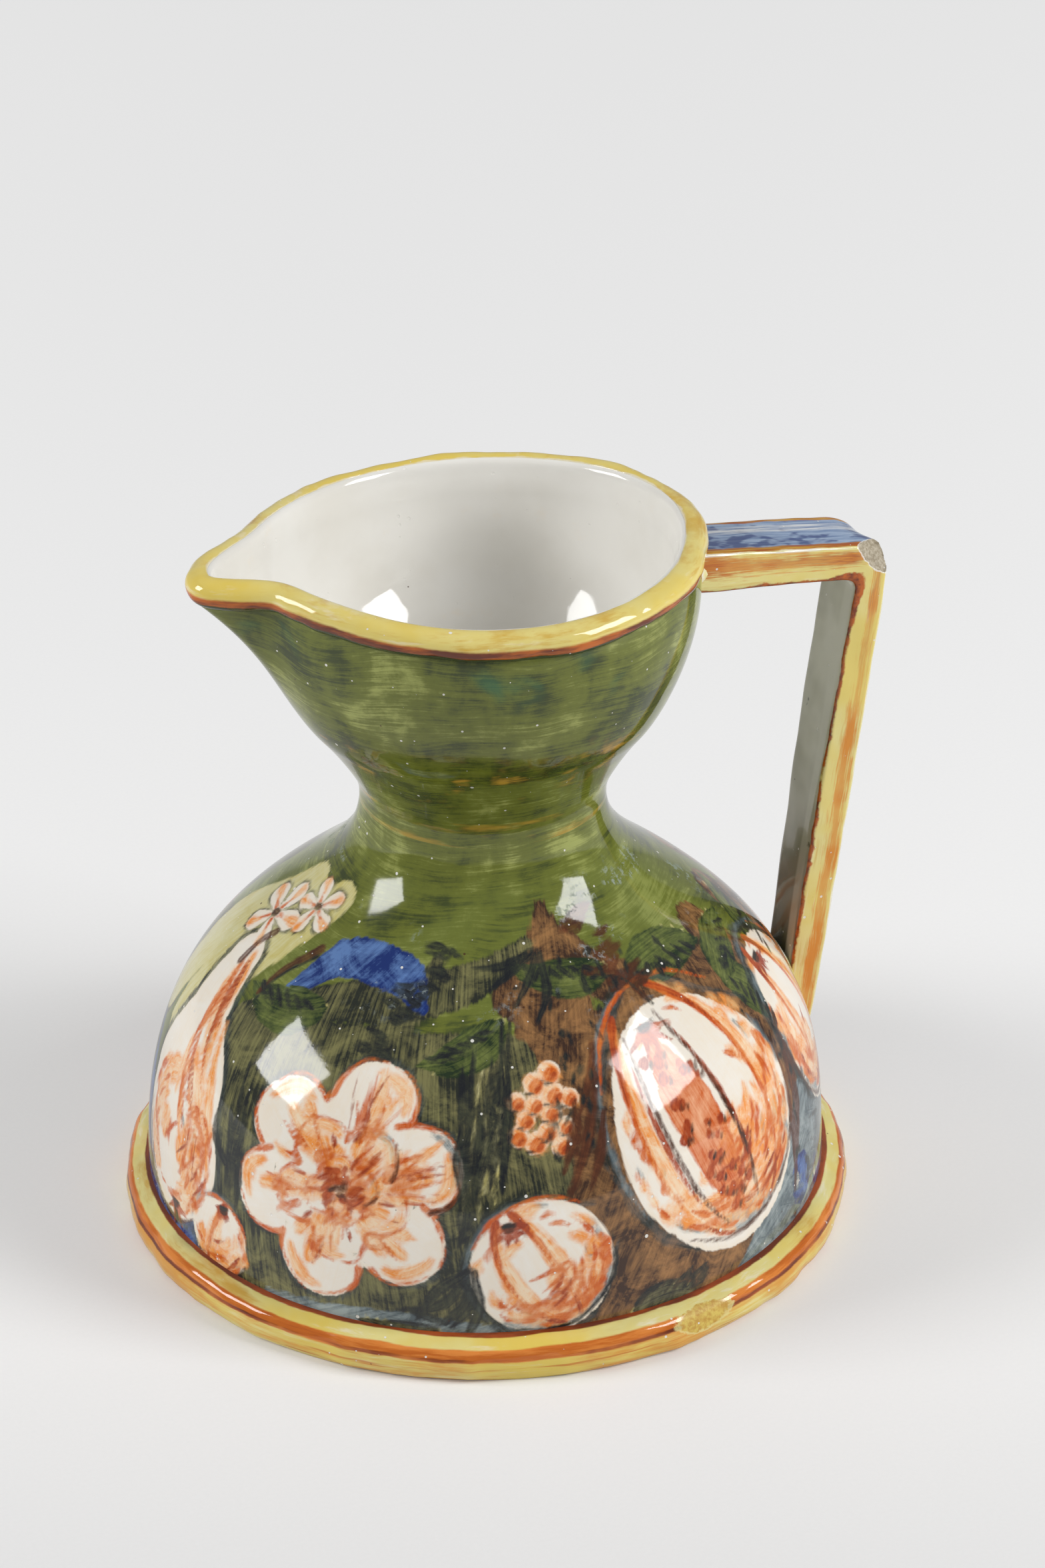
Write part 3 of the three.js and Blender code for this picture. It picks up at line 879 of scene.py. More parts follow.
def blossom(centre, size, tilt=0.0):
    """Five pale petals, each with a blush and a rust dab."""
    for petal in range(5):
        way = way_of(tilt + 72 * petal)
        for pigment, start, end, widths, count in PETAL_LAYERS:
            lay(pigment, [spot(centre, *(way * size * start)), spot(centre, *(way * size * end))],
                [size * width for width in widths], count)
        lay("rust", [spot(centre, *(way * size * 0.24)), spot(centre, *(way * size * 0.62))],
            [size * 0.08, size * 0.05, 0.2], 4)
    lay("sepia", [spot(centre, -0.6, 0), spot(centre, 0.6, 0.4)], [size * 0.13, size * 0.12], 3)


def twig(places, half_width):
    """A brown twig with a dark underside."""
    lay("sepia", places, [half_width, half_width * 0.7, half_width * 0.5], 18)
    lay("ink", [(turn + 0.6, height - half_width * 0.7) for turn, height in places],
        [half_width * 0.4, half_width * 0.25, half_width * 0.3], 18)


def combed(centre, wide, tall, tilt, count, pigment, half):
    """Long thin strokes side by side, as a dry brush leaves them."""
    for _ in range(count):
        right, up = dice.uniform(-wide, wide), dice.uniform(-tall, tall) * 0.5
        reach = tall * dice.uniform(0.25, 0.6)
        lean = reach * dice.normal(0, 0.07)
        thickness = half * dice.uniform(0.6, 1.2)
        places = [spot(centre, right - lean, up - reach, tilt), spot(centre, right + 0.5, up, tilt),
                  spot(centre, right + lean, up + reach, tilt)]
        if free(places):
            lay(pigment, places, [half * 0.3, thickness, half * 0.3], 9)


def fan(root, angles, length, half_width):
    """Quick tapering strokes that spread from one place, as a tuft of grass is drawn."""
    for angle in angles:
        way = way_of(angle + dice.uniform(-4, 4))
        reach = length * dice.uniform(0.75, 1.15)
        bow = np.array([-way[1], way[0]]) * reach * dice.uniform(-0.1, 0.2)
        places = [spot(root, *(way * reach * 0.08)), spot(root, *(way * reach * 0.55 + bow)),
                  spot(root, *(way * reach))]
        if free(places[1:]):
            lay("ink", places, [half_width * 0.6, half_width, half_width * 0.25], 10)


def dabs(centre, wide, tall, tilt, count, pigment, size):
    """Short dry dabs that break up a dark ground."""
    for _ in range(count):
        place = spot(centre, dice.uniform(-wide, wide), dice.uniform(-tall, tall), tilt)
        turn = math.radians(tilt + 90 + dice.uniform(-30, 30))
        reach = size * dice.uniform(1.5, 4)
        end = spot(place, reach * math.cos(turn), reach * math.sin(turn))
        if free([place, end]):
            lay(pigment, [place, end], [size * 0.3, size * dice.uniform(0.5, 1), size * 0.2], 5)


def front_of_bell():
    """The grounds first, then the forms, the leaves and the quick strokes."""
    lay("straw", [(-60, 101), (-74, 87), (-80, 62)], [5, 13, 9])
    lay("straw", [(-80, 98), (-92, 80), (-94, 60)], [7, 12, 8])
    for height, width in ((14, 14), (34, 17), (54, 17)):
        lay("olive", [(-62, height), (-30, height + 2), (4, height)], [width, width, width])
        lay("umber", [(0, height), (36, height + 2), (72, height)], [width, width, width])
    lay("olive", [(-56, 72), (-30, 74), (2, 76)], [10, 13, 12])
    lay("umber", [(2, 74), (34, 76), (78, 72)], [12, 14, 12])
    lay("olive", [(-50, 82), (-28, 88), (-6, 92), (14, 99)], [4, 7, 6, 2])
    lay("olive", [(-22, 84), (-14, 96)], [6, 2])
    lay("umber", [(22, 106), (20, 92), (14, 76)], [1.5, 9, 12])
    lay("umber", [(27, 100), (34, 90), (52, 84), (72, 84)], [2, 7, 9, 6])
    lay("umber", [(10, 90), (18, 96)], [8, 7])
    lay("umber", [(76, 88), (74, 62), (80, 42)], [7, 12, 10])
    lay("slate", [(70, 42), (66, 26), (72, 10)], [6, 9, 10])
    lay("slate", [(64, 34), (58, 20), (48, 9)], [7, 10, 5])
    lay("slate", [(74, 30), (84, 22), (100, 16)], [11, 13, 13])
    lay("slate", [(98, 48), (96, 32)], [9, 11])
    lay("slate", [(-38, 11), (-14, 12), (4, 11)], [2, 5, 2])
    lay("cobalt", [(-92, 44), (-80, 22), (-58, 13)], [9, 12, 9])
    lay("cobalt", [(-58, 26), (-52, 12)], [7, 7])
    lay("cobalt", [(-52, 84), (-42, 93), (-24, 93), (-16, 88)], [2, 6, 6, 2])
    pear((-68, 50), 68, 48, 12)
    full_bloom((-25, 48), 34, 10, -40)
    split_fruit((45, 55), 33, 36, 14, -60, 190)
    round_fruit((86, 56), 23, 26, 8, 215, 80, "sepia", (-0.4, 0.3))
    round_fruit((9, 30), 20, 19, 30, -70, 84, "ink", (0.15, -0.5))
    round_fruit((-50, 20), 12, 12, -20, -60, 30, "ink", (-0.2,))
    plum((-66, 15), 5.5, 0)
    plum((66, 22), 7.5, 10)
    plum((75, 17), 6, 30)
    twig([(-52, 92), (-58, 86), (-60, 80)], 1.5)
    twig([(30, 92), (38, 90), (42, 84)], 1.6)
    berries((11, 68), 9, 11, 13)
    leaf((-40, 84), 28, 190, 7)
    leaf((4, 86), 26, -150, 6)
    leaf((40, 88), 32, -4, 7.5)
    leaf((36, 92), 26, 168, 6)
    leaf((66, 80), 30, -70, 7)
    leaf((24, 12), 20, -2, 5, "ink")
    leaf((-8, 12), 22, 178, 4.5, "ink")
    leaf((66, 78), 26, 24, 6.5)
    blossom((-80, 90), 10, 20)
    blossom((-66, 97), 7.5, 50)
    blossom((92, 27), 8.5, 5)
    combed((-4, 60), 10, 30, -4, 54, "ink", 1.5)
    combed((-45, 44), 9, 30, 4, 34, "ink", 1.4)
    combed((-20, 88), 18, 7, 70, 26, "ink", 1.5)
    combed((-4, 60), 12, 30, -2, 26, "straw", 0.35)
    combed((22, 66), 8, 30, -20, 34, "sepia", 1.8)
    combed((64, 50), 10, 32, -14, 34, "sepia", 1.7)
    combed((40, 90), 22, 8, -76, 26, "sepia", 1.7)
    combed((36, 16), 18, 7, -66, 28, "ink", 1.2)
    combed((60, 20), 10, 12, 66, 16, "mist", 1.4)
    combed((76, 26), 16, 14, 66, 30, "mist", 1.6)
    combed((76, 26), 16, 13, 66, 14, "ink", 0.5)
    combed((-78, 24), 14, 10, 50, 20, "cobalt", 1.0)
    dabs((16, 56), 8, 38, -10, 34, "ink", 1.1)
    dabs((64, 52), 9, 32, -10, 30, "ink", 1.1)
    dabs((40, 90), 24, 6, -10, 18, "ink", 1.2)
    fan((-2, 32), (-156, -144, -132, -120, -108, -96), 22, 1.8)
    fan((-3, 46), (70, 84, 98, 112, 126), 24, 1.7)
    fan((-6, 14), (14, 26, 160, 148), 17, 1.4)
    fan((62, 30), (96, 112, 128, 144), 22, 1.6)
    fan((-48, 40), (60, 80, 100, 120), 18, 1.5)
    fan((18, 98), (196, 210, 224, 238, 252), 18, 1.5)


def back_of_bell():
    """The same for the side that the photo doesn't show."""
    lay("umber", [(100, 84), (102, 50), (106, 14)], [8, 13, 13])
    lay("umber", [(120, 88), (128, 60), (126, 30)], [7, 13, 13])
    lay("umber", [(100, 34), (128, 34)], [20, 20])
    lay("umber", [(100, 68), (128, 70)], [16, 18])
    lay("olive", [(150, 34), (176, 34)], [20, 18])
    lay("olive", [(150, 66), (172, 62)], [20, 14])
    lay("umber", [(198, 34), (222, 34)], [20, 20])
    lay("umber", [(202, 68), (222, 68)], [14, 18])
    lay("olive", [(240, 34), (262, 34)], [20, 18])
    lay("olive", [(240, 66), (264, 60)], [18, 12])
    lay("olive", [(146, 90), (150, 60), (152, 16)], [8, 15, 14])
    lay("olive", [(170, 74), (172, 44), (174, 14)], [9, 14, 14])
    lay("straw", [(188, 98), (180, 86), (170, 78)], [7, 12, 7])
    lay("slate", [(128, 18), (146, 14), (160, 15)], [8, 9, 6])
    lay("umber", [(198, 86), (196, 54), (198, 16)], [8, 13, 13])
    lay("umber", [(216, 90), (218, 58), (220, 16)], [8, 14, 14])
    lay("olive", [(240, 88), (242, 56), (240, 16)], [9, 14, 14])
    lay("olive", [(258, 72), (262, 46), (258, 16)], [8, 10, 11])
    lay("cobalt", [(230, 16), (256, 14)], [6, 7])
    round_fruit((112, 50), 25, 27, -16, 220, 110, "sepia", (-0.55, 0.05, 0.6))
    pear((150, 50), 60, 42, -20)
    full_bloom((194, 48), 32, 30, -50)
    split_fruit((238, 52), 25, 27, -14, -60, 100)
    round_fruit((217, 22), 13, 13, 20, -70, 32, "ink", (0.2,))
    round_fruit((268, 24), 12, 13, 5, -50, 30, "ink", (-0.1,))
    plum((130, 20), 8)
    plum((172, 82), 7)
    plum((138, 16), 6, 20)
    twig([(126, 88), (122, 82), (118, 76)], 1.6)
    twig([(236, 90), (238, 84), (240, 79)], 1.6)
    berries((170, 66), 8, 8, 28)
    leaf((128, 82), 34, -66, 7.5)
    leaf((164, 84), 32, 14, 7.5)
    leaf((212, 80), 34, -80, 7)
    leaf((222, 44), 28, 250, 6, "ink")
    leaf((90, 66), 30, 60, 7)
    leaf((258, 48), 28, -30, 7)
    leaf((172, 24), 28, 186, 6, "ink", None)
    blossom((92, 28), 9)
    blossom((182, 82), 9, 30)
    blossom((246, 22), 8, 12)
    combed((102, 48), 9, 32, 0, 30, "sepia", 1.8)
    combed((130, 48), 8, 32, 0, 26, "sepia", 1.7)
    combed((168, 46), 10, 32, 4, 40, "ink", 1.4)
    combed((214, 50), 10, 32, -10, 34, "sepia", 1.8)
    combed((256, 46), 9, 32, -4, 34, "ink", 1.4)
    combed((256, 46), 9, 30, -4, 16, "straw", 0.4)
    dabs((128, 46), 9, 32, 0, 24, "ink", 1.1)
    dabs((214, 46), 9, 32, 0, 24, "ink", 1.1)
    fan((130, 36), (-140, -120, -100, -80, -60), 20, 1.7)
    fan((216, 62), (96, 116, 136, 60), 20, 1.6)
    fan((260, 38), (60, 80, 100, 120), 20, 1.6)


# Colours, as they look on the glaze


def shade(red, green, blue):
    """A colour of 0 to 255 as Blender's linear one."""
    def linear(value):
        value /= 255
        return value / 12.92 if value <= 0.04045 else ((value + 0.055) / 1.055) ** 2.4

    return (linear(red), linear(green), linear(blue), 1.0)


TIN_WHITE = shade(238, 236, 230)
TIN_SHADOW = shade(231, 228, 220)
PORCELAIN = shade(244, 240, 232)
CREAM = shade(240, 226, 204)
LEMON = shade(226, 200, 94)
BUTTER = shade(228, 217, 146)
OCHRE = shade(206, 160, 58)
ORANGE = shade(218, 142, 48)
AMBER = shade(196, 102, 26)
FOOT_ORANGE = shade(224, 136, 58)
RUST = shade(164, 74, 26)
RUST_DARK = shade(104, 44, 18)
SEPIA = shade(70, 38, 20)
UMBER_THIN = shade(160, 114, 70)
UMBER_THICK = shade(58, 36, 24)
OLIVE_THIN = shade(126, 122, 78)
OLIVE_THICK = shade(34, 38, 30)
MOSS_THIN = shade(158, 164, 88)
MOSS = shade(104, 111, 38)
MOSS_THICK = shade(54, 64, 26)
LEAF_THIN = shade(108, 120, 56)
LEAF_THICK = shade(28, 46, 22)
TEAL = shade(52, 120, 84)
SLATE_THIN = shade(160, 174, 176)
SLATE_THICK = shade(80, 94, 100)
COBALT_THIN = shade(92, 128, 188)
COBALT_THICK = shade(16, 44, 110)
SKY = shade(168, 188, 214)
STEEL = shade(108, 132, 172)
NIGHT = shade(54, 74, 130)
INK_THIN = shade(60, 66, 50)
INK_THICK = shade(18, 22, 28)
BLUSH_THIN = shade(250, 206, 144)
BLUSH_THICK = shade(240, 148, 62)
RUST_THIN = shade(236, 138, 50)
RUST_THICK = shade(200, 84, 14)
FLAME_THIN = shade(212, 96, 30)
FLAME_THICK = shade(148, 50, 14)
STRAW_THIN = shade(232, 226, 178)
STRAW_THICK = shade(204, 192, 118)
LICHEN_PALE = shade(226, 224, 208)
LICHEN = shade(192, 190, 168)
LICHEN_DARK = shade(70, 70, 50)
FLAKE_PALE = shade(216, 190, 92)
FLAKE_AMBER = shade(192, 146, 58)
CLAY = shade(196, 186, 166)
CLAY_DARK = shade(150, 138, 116)

# Shader helpers


def node(tree, kind, inputs=None, **settings):
    return make_node(tree, "ShaderNode" + kind, inputs, **settings)


def calc(operation, *values, clamped=False):
    """A sum in the tree that its values come from."""
    tree = tree_of(*values)
    return node(tree, "Math", dict(enumerate(values)), operation=operation, use_clamp=clamped).outputs[0]


def tree_of(*values):
    return next(value.id_data for value in values if isinstance(value, bpy.types.NodeSocket))


def plus(value, other, clamped=False):
    return calc("ADD", value, other, clamped=clamped)


def minus(value, other):
    return calc("SUBTRACT", value, other)


def times(value, other):
    return calc("MULTIPLY", value, other)


def scaled(value, factor, onto):
    """A value times a factor, added onto another value."""
    return calc("MULTIPLY_ADD", value, factor, onto)


def mixed(share, under, over):
    """One colour over another, by a share."""
    tree = tree_of(share, under, over)
    return node(tree, "Mix", {0: share, 6: under, 7: over}, data_type="RGBA").outputs[2]


def graded(value, low, high, start=0.0, end=1.0):
    """Value from low to high, eased, as start to end."""
    return node(tree_of(value), "MapRange", {0: value, 1: low, 2: high, 3: start, 4: end},
                interpolation_type="SMOOTHSTEP").outputs[0]


def noise(vector, scale, detail, roughness=0.55, distortion=0.0):
    given = {"Vector": vector, "Scale": scale, "Detail": detail, "Roughness": roughness,
             "Distortion": distortion}
    return node(tree_of(vector), "TexNoise", given).outputs["Fac"]


def streaks(vector, amounts, detail, roughness, distortion=0.0, shift=(0.0, 0.0, 0.0)):
    """Noise drawn out along the axes with the lesser amounts."""
    given = {"Vector": vector, "Scale": amounts, "Location": shift}
    drawn = node(tree_of(vector), "Mapping", given).outputs[0]
    return noise(drawn, 1.0, detail, roughness, distortion)


def field(tree, name, output="Vector"):
    return node(tree, "Attribute", attribute_name=name).outputs[output]


def object_place(tree):
    return node(tree, "TexCoord").outputs["Object"]


def split(vector):
    """The three parts of a vector."""
    return tuple(node(tree_of(vector), "SeparateXYZ", {0: vector}).outputs)


def joined(x, y, z):
    """A vector from its three parts."""
    return node(tree_of(x, y, z), "CombineXYZ", {0: x, 1: y, 2: z}).outputs[0]


def new_group(name, inputs, outputs):
    """A shader group: its tree, what it is given and its results."""
    tree = bpy.data.node_groups.new(name, "ShaderNodeTree")
    for label, kind, value in inputs:
        socket = tree.interface.new_socket(name=label, in_out="INPUT", socket_type="NodeSocket" + kind)
        if value is not None:
            socket.default_value = value
    for label, kind in outputs:
        tree.interface.new_socket(name=label, in_out="OUTPUT", socket_type="NodeSocket" + kind)
    return tree, tree.nodes.new("NodeGroupInput").outputs, tree.nodes.new("NodeGroupOutput").inputs


def placed(tree, group, inputs):
    """The outputs of a group that is put into a tree."""
    return node(tree, "Group", inputs, node_tree=group).outputs


def new_material(name):
    """A material, its tree and its surface shader."""
    material = bpy.data.materials.new(name)
    material.use_nodes = True
    tree = material.node_tree
    return material, tree, tree.nodes["Principled BSDF"]


def brushed_pigment():
    """Colour laid over another in brush strokes, thin along streaks and thick at the edges."""
    tree, given, result = new_group("Brushed pigment", [
        ("Under", "Color", None), ("Thin", "Color", None), ("Thick", "Color", None),
        ("Stroke", "Vector", None), ("Softness", "Float", 0.35), ("Raggedness", "Float", 1.0),
        ("Streaks", "Float", 1.0), ("Blotches", "Float", 1.0), ("Body", "Float", 0.8),
    ], [("Colour", "Color")])
    outside, along, across = split(given["Stroke"])
    lie = joined(along, across, 0.0)
    ragged = streaks(lie, (0.22, 0.5, 1.0), 4.0, 0.6)
    push = times(minus(ragged, 0.5), given["Raggedness"])
    distance = scaled(push, 3.0, outside)
    cover = graded(distance, given["Softness"], times(given["Softness"], -1.0))
    streak = streaks(lie, (0.06, 1.15, 1.0), 4.0, 0.62)
    blotch = noise(object_place(tree), 100.0, 6.0, 0.7, 0.6)
    pooled = graded(distance, -1.7, -0.2, 0.0, 0.24)
    density = times(times(minus(streak, 0.5), 2.0),
                   given["Streaks"])
    clouded = times(times(minus(blotch, 0.47), 2.6),
                   given["Blotches"])
    density = plus(plus(density, pooled), plus(clouded, 0.42), clamped=True)
    pigment = mixed(density, given["Thin"], given["Thick"])
    bare = minus(1.0, given["Body"])
    opacity = times(cover, scaled(bare, density, given["Body"]))
    tree.links.new(mixed(opacity, given["Under"], pigment), result["Colour"])
    return tree


def pinholes():
    """Small round specks scattered through the glaze."""
    tree, given, result = new_group("Pinholes", [
        ("Colour", "Color", None), ("Speck", "Color", TIN_WHITE), ("Spacing", "Float", 4.0),
        ("Size", "Float", 0.35), ("Share", "Float", 0.4),
    ], [("Colour", "Color"), ("Mask", "Float")])
    scale = calc("DIVIDE", 1000.0, given["Spacing"])
    cells = node(tree, "TexVoronoi", {"Vector": object_place(tree), "Scale": scale, "Randomness": 1.0})
    tone = node(tree, "SeparateColor", {0: cells.outputs["Color"]}).outputs
    chosen = calc("LESS_THAN", tone[0], given["Share"])
    size = times(calc("DIVIDE", given["Size"], given["Spacing"]),
                scaled(calc("POWER", tone[1], 3.0), 1.6, 0.4))
    inside = minus(size, cells.outputs["Distance"])
    mask = times(chosen, graded(inside, -0.01, 0.02))
    tree.links.new(mixed(times(mask, 0.85), given["Colour"], given["Speck"]),
                   result["Colour"])
    tree.links.new(mask, result["Mask"])
    return tree


def glaze_skin():
    """Height of the glaze in millimetres, and how rough it is, from waves, a fine skin and pits."""
    tree, given, result = new_group("Glaze skin", [
        ("Waves", "Float", 0.08), ("Skin", "Float", 0.01), ("Pits", "Float", 0.0),
        ("Gloss", "Float", 0.07), ("Wear", "Float", 0.0),
    ], [("Height", "Float"), ("Roughness", "Float")])
    place = object_place(tree)
    waves = times(noise(place, 60.0, 2.0), given["Waves"])
    fine = scaled(noise(place, 650.0, 2.0), given["Skin"], waves)
    tree.links.new(scaled(given["Pits"], -0.07, fine), result["Height"])
    smear = graded(noise(place, 38.0, 4.0), 0.48, 0.75, 0.0, 0.05)
    dull = scaled(given["Pits"], 0.35, times(given["Wear"], 0.5))
    tree.links.new(plus(given["Gloss"], plus(smear, dull)), result["Roughness"])
    return tree


COIL = coil_along_path()
BRUSHED = brushed_pigment()
PINHOLES = pinholes()
SKIN = glaze_skin()


def glaze(name, colour_of, gloss=0.06, waves=0.10, skin_height=0.008, worn=None):
    """A glossy fired glaze over the colour that colour_of builds in the material's tree."""
    material, tree, shader = new_material(name)
    colour = colour_of(tree)
    fine = placed(tree, PINHOLES, {"Colour": colour, "Speck": TIN_WHITE, "Spacing": 2.6,
                                   "Size": 0.26, "Share": 0.34})
    dark = placed(tree, PINHOLES, {"Colour": fine["Colour"], "Speck": SEPIA, "Spacing": 5.2,
                                   "Size": 0.2, "Share": 0.3})
    wear = worn(tree) if worn else 0.0
    skin_of = placed(tree, SKIN, {"Waves": waves, "Skin": skin_height, "Pits": fine["Mask"],
                                  "Gloss": gloss, "Wear": wear})
    bump = node(tree, "Bump", {"Height": skin_of["Height"], "Strength": 1.0, "Distance": MM})
    tree.links.new(dark["Colour"], shader.inputs["Base Color"])
    tree.links.new(bump.outputs[0], shader.inputs["Normal"])
    tree.links.new(skin_of["Roughness"], shader.inputs["Roughness"])
    shader.inputs["IOR"].default_value = 1.52
    return material


def white_ground(tree):
    """Tin white with faint warm clouds."""
    place = object_place(tree)
    tone = noise(place, 22.0, 4.0, 0.6)
    warm = noise(place, 60.0, 5.0, 0.7)
    colour = mixed(graded(tone, 0.42, 0.72), TIN_WHITE, TIN_SHADOW)
    return mixed(graded(warm, 0.6, 0.8, 0.0, 0.4), colour, CREAM)


def green_ground(tree):
    """The green of the bowl and neck, brushed round in thin and thick passes."""
    place = object_place(tree)
    wander = times(minus(noise(place, 16.0, 2.0, 0.5), 0.5), 0.02)
    place = node(tree, "VectorMath", {0: place, 1: node(tree, "CombineXYZ", {2: wander}).outputs[0]},
                 operation="ADD").outputs[0]
    passes = streaks(place, (34.0, 34.0, 330.0), 6.0, 0.72, 0.3)
    hairs = streaks(place, (85.0, 85.0, 1900.0), 3.0, 0.65, 0.1)
    mottle = noise(place, 90.0, 6.0, 0.75, 0.3)
    clouds = streaks(place, (24.0, 24.0, 34.0), 3.0, 0.6, 0.4, (3.1, 0.4, 1.7))
    drips = streaks(place, (120.0, 120.0, 16.0), 2.0, 0.5, shift=(1.3, 2.2, 0.0))
    density = 0.55
    for part, share in ((passes, 1.0), (hairs, 0.9), (mottle, 1.1), (clouds, 1.9), (drips, 0.8)):
        density = scaled(minus(part, 0.5), share, density)
    height = split(place)[2]
    density = plus(density, graded(height, 0.142, 0.162, 0.0, 0.07))
    thin = mixed(graded(density, 0.05, 0.5), MOSS_THIN, MOSS)
    colour = mixed(graded(density, 0.5, 1.0), thin, MOSS_THICK)
    lively = times(graded(height, 0.122, 0.104), graded(clouds, 0.65, 0.35))
    colour = mixed(times(lively, 0.45), colour, LEAF_THIN)
    belt = times(graded(height, 0.134, 0.146), graded(height, 0.160, 0.149))
    stain = times(belt, graded(plus(drips, passes), 1.06, 1.3))
    colour = mixed(times(stain, 0.75), colour, OCHRE)
    cool = times(graded(height, 0.168, 0.178), graded(clouds, 0.56, 0.68))
    return mixed(times(cool, 0.5), colour, TEAL)


PIGMENT_AMOUNTS = ("Softness", "Raggedness", "Streaks", "Blotches", "Body")

# Thin colour, thick colour and the amounts above, of each pigment in the order they are laid
PIGMENT_LOOKS = {
    "umber": (UMBER_THIN, UMBER_THICK, 0.6, 1.2, 0.7, 1.7, 0.95),
    "olive": (OLIVE_THIN, OLIVE_THICK, 0.6, 1.2, 1.3, 1.4, 0.95),
    "slate": (SLATE_THIN, SLATE_THICK, 0.6, 1.2, 0.9, 1.3, 0.9),
    "cobalt": (COBALT_THIN, COBALT_THICK, 0.4, 0.8, 0.8, 1.8, 0.94),
    "straw": (STRAW_THIN, STRAW_THICK, 0.6, 0.9, 0.9, 1.0, 0.82),
    "leaf": (LEAF_THIN, LEAF_THICK, 0.4, 0.8, 0.9, 1.2, 0.94),
    "shadow": (SLATE_THICK, OLIVE_THICK, 0.9, 1.2, 0.8, 1.0, 0.35),
    "tin": (PORCELAIN, CREAM, 0.35, 0.6, 0.3, 0.6, 0.99),
    "mist": (SLATE_THIN, SLATE_THICK, 0.7, 0.8, 0.9, 1.0, 0.4),
    "blush": (BLUSH_THIN, BLUSH_THICK, 1.0, 0.9, 0.9, 1.4, 0.5),
    "rust": (RUST_THIN, RUST_THICK, 0.5, 0.6, 0.8, 1.0, 0.7),
    "flame": (FLAME_THIN, FLAME_THICK, 0.4, 0.5, 0.7, 1.0, 0.75),
    "sepia": (RUST_DARK, SEPIA, 0.5, 0.6, 0.8, 1.0, 0.6),
    "ink": (INK_THIN, INK_THICK, 0.45, 0.5, 0.8, 1.0, 0.7),
}


def painted_picture(tree):
    """The picture's pigments over the green, one layer each."""
    colour = green_ground(tree)
    for pigment, looks in PIGMENT_LOOKS.items():
        thin, thick, *amounts = looks
        colours = {"Under": colour, "Thin": thin, "Thick": thick, "Stroke": field(tree, "stroke_" + pigment)}
        colour = placed(tree, BRUSHED, {**colours, **dict(zip(PIGMENT_AMOUNTS, amounts))})["Colour"]
    colour = mixed(times(scuffs(tree), 0.5), colour, SLATE_THIN)
    return inside_white(tree, colour)


def scuffs(tree):
    """Small matte places where the glaze is rubbed, near the top of the bell."""
    place = object_place(tree)
    height = split(place)[2]
    belt = times(graded(height, 0.082, 0.09), graded(height, 0.112, 0.104))
    where = graded(noise(place, 60.0, 2.0), 0.56, 0.64)
    grain = graded(noise(place, 420.0, 5.0, 0.7, 0.4), 0.5, 0.6)
    return times(times(belt, where), grain)


def inside_white(tree, colour):
    """White glaze on the inner wall, whatever the outside is painted."""
    return mixed(field(tree, "inside", "Fac"), colour, white_ground(tree))


def painted_bowl(tree):
    return inside_white(tree, green_ground(tree))


def brushed_yellow(tree, streak, patch):
    """Thin yellow, here and there thick enough to turn ochre, here and there nearly bare."""
    colour = mixed(graded(patch, 0.36, 0.6), LEMON, BUTTER)
    colour = mixed(graded(plus(streak, patch), 1.02, 1.28, 0.0, 0.9), colour, OCHRE)
    return mixed(graded(streak, 0.42, 0.3, 0.0, 0.5), colour, PORCELAIN)


def painted_roll(tree):
    """Yellow over the crest, a rust line outside, and white where the bowl begins."""
    place = object_place(tree)
    turn = field(tree, "section", "Fac")
    wobble = minus(noise(place, 80.0, 4.0, 0.6), 0.5)
    streak = streaks(place, (55.0, 55.0, 360.0), 4.0, 0.65)
    patch = noise(place, 30.0, 4.0, 0.6)
    yellow = mixed(0.35, brushed_yellow(tree, streak, patch), LEMON)
    fine = streaks(place, (90.0, 90.0, 900.0), 4.0, 0.65)
    yellow = mixed(graded(plus(fine, patch), 1.04, 1.28, 0.0, 0.65), yellow, OCHRE)
    rust = mixed(graded(streak, 0.35, 0.62), AMBER, RUST_DARK)
    line = scaled(wobble, 22.0, turn)
    colour = mixed(graded(line, -33.0, -25.0), MOSS_THICK, rust)
    colour = mixed(graded(line, -4.0, 8.0), colour, yellow)
    fringe = scaled(wobble, 42.0, turn)
    faded = mixed(0.55, yellow, TIN_WHITE)
    colour = mixed(graded(fringe, 106.0, 114.0), colour, faded)
    return mixed(graded(fringe, 115.0, 123.0), colour, TIN_WHITE)


# Where each band of the foot starts, in millimetres down its outside
FOOT_BANDS = [(1.0, 0.25), (4.8, 0.3), (8.3, 0.3)]


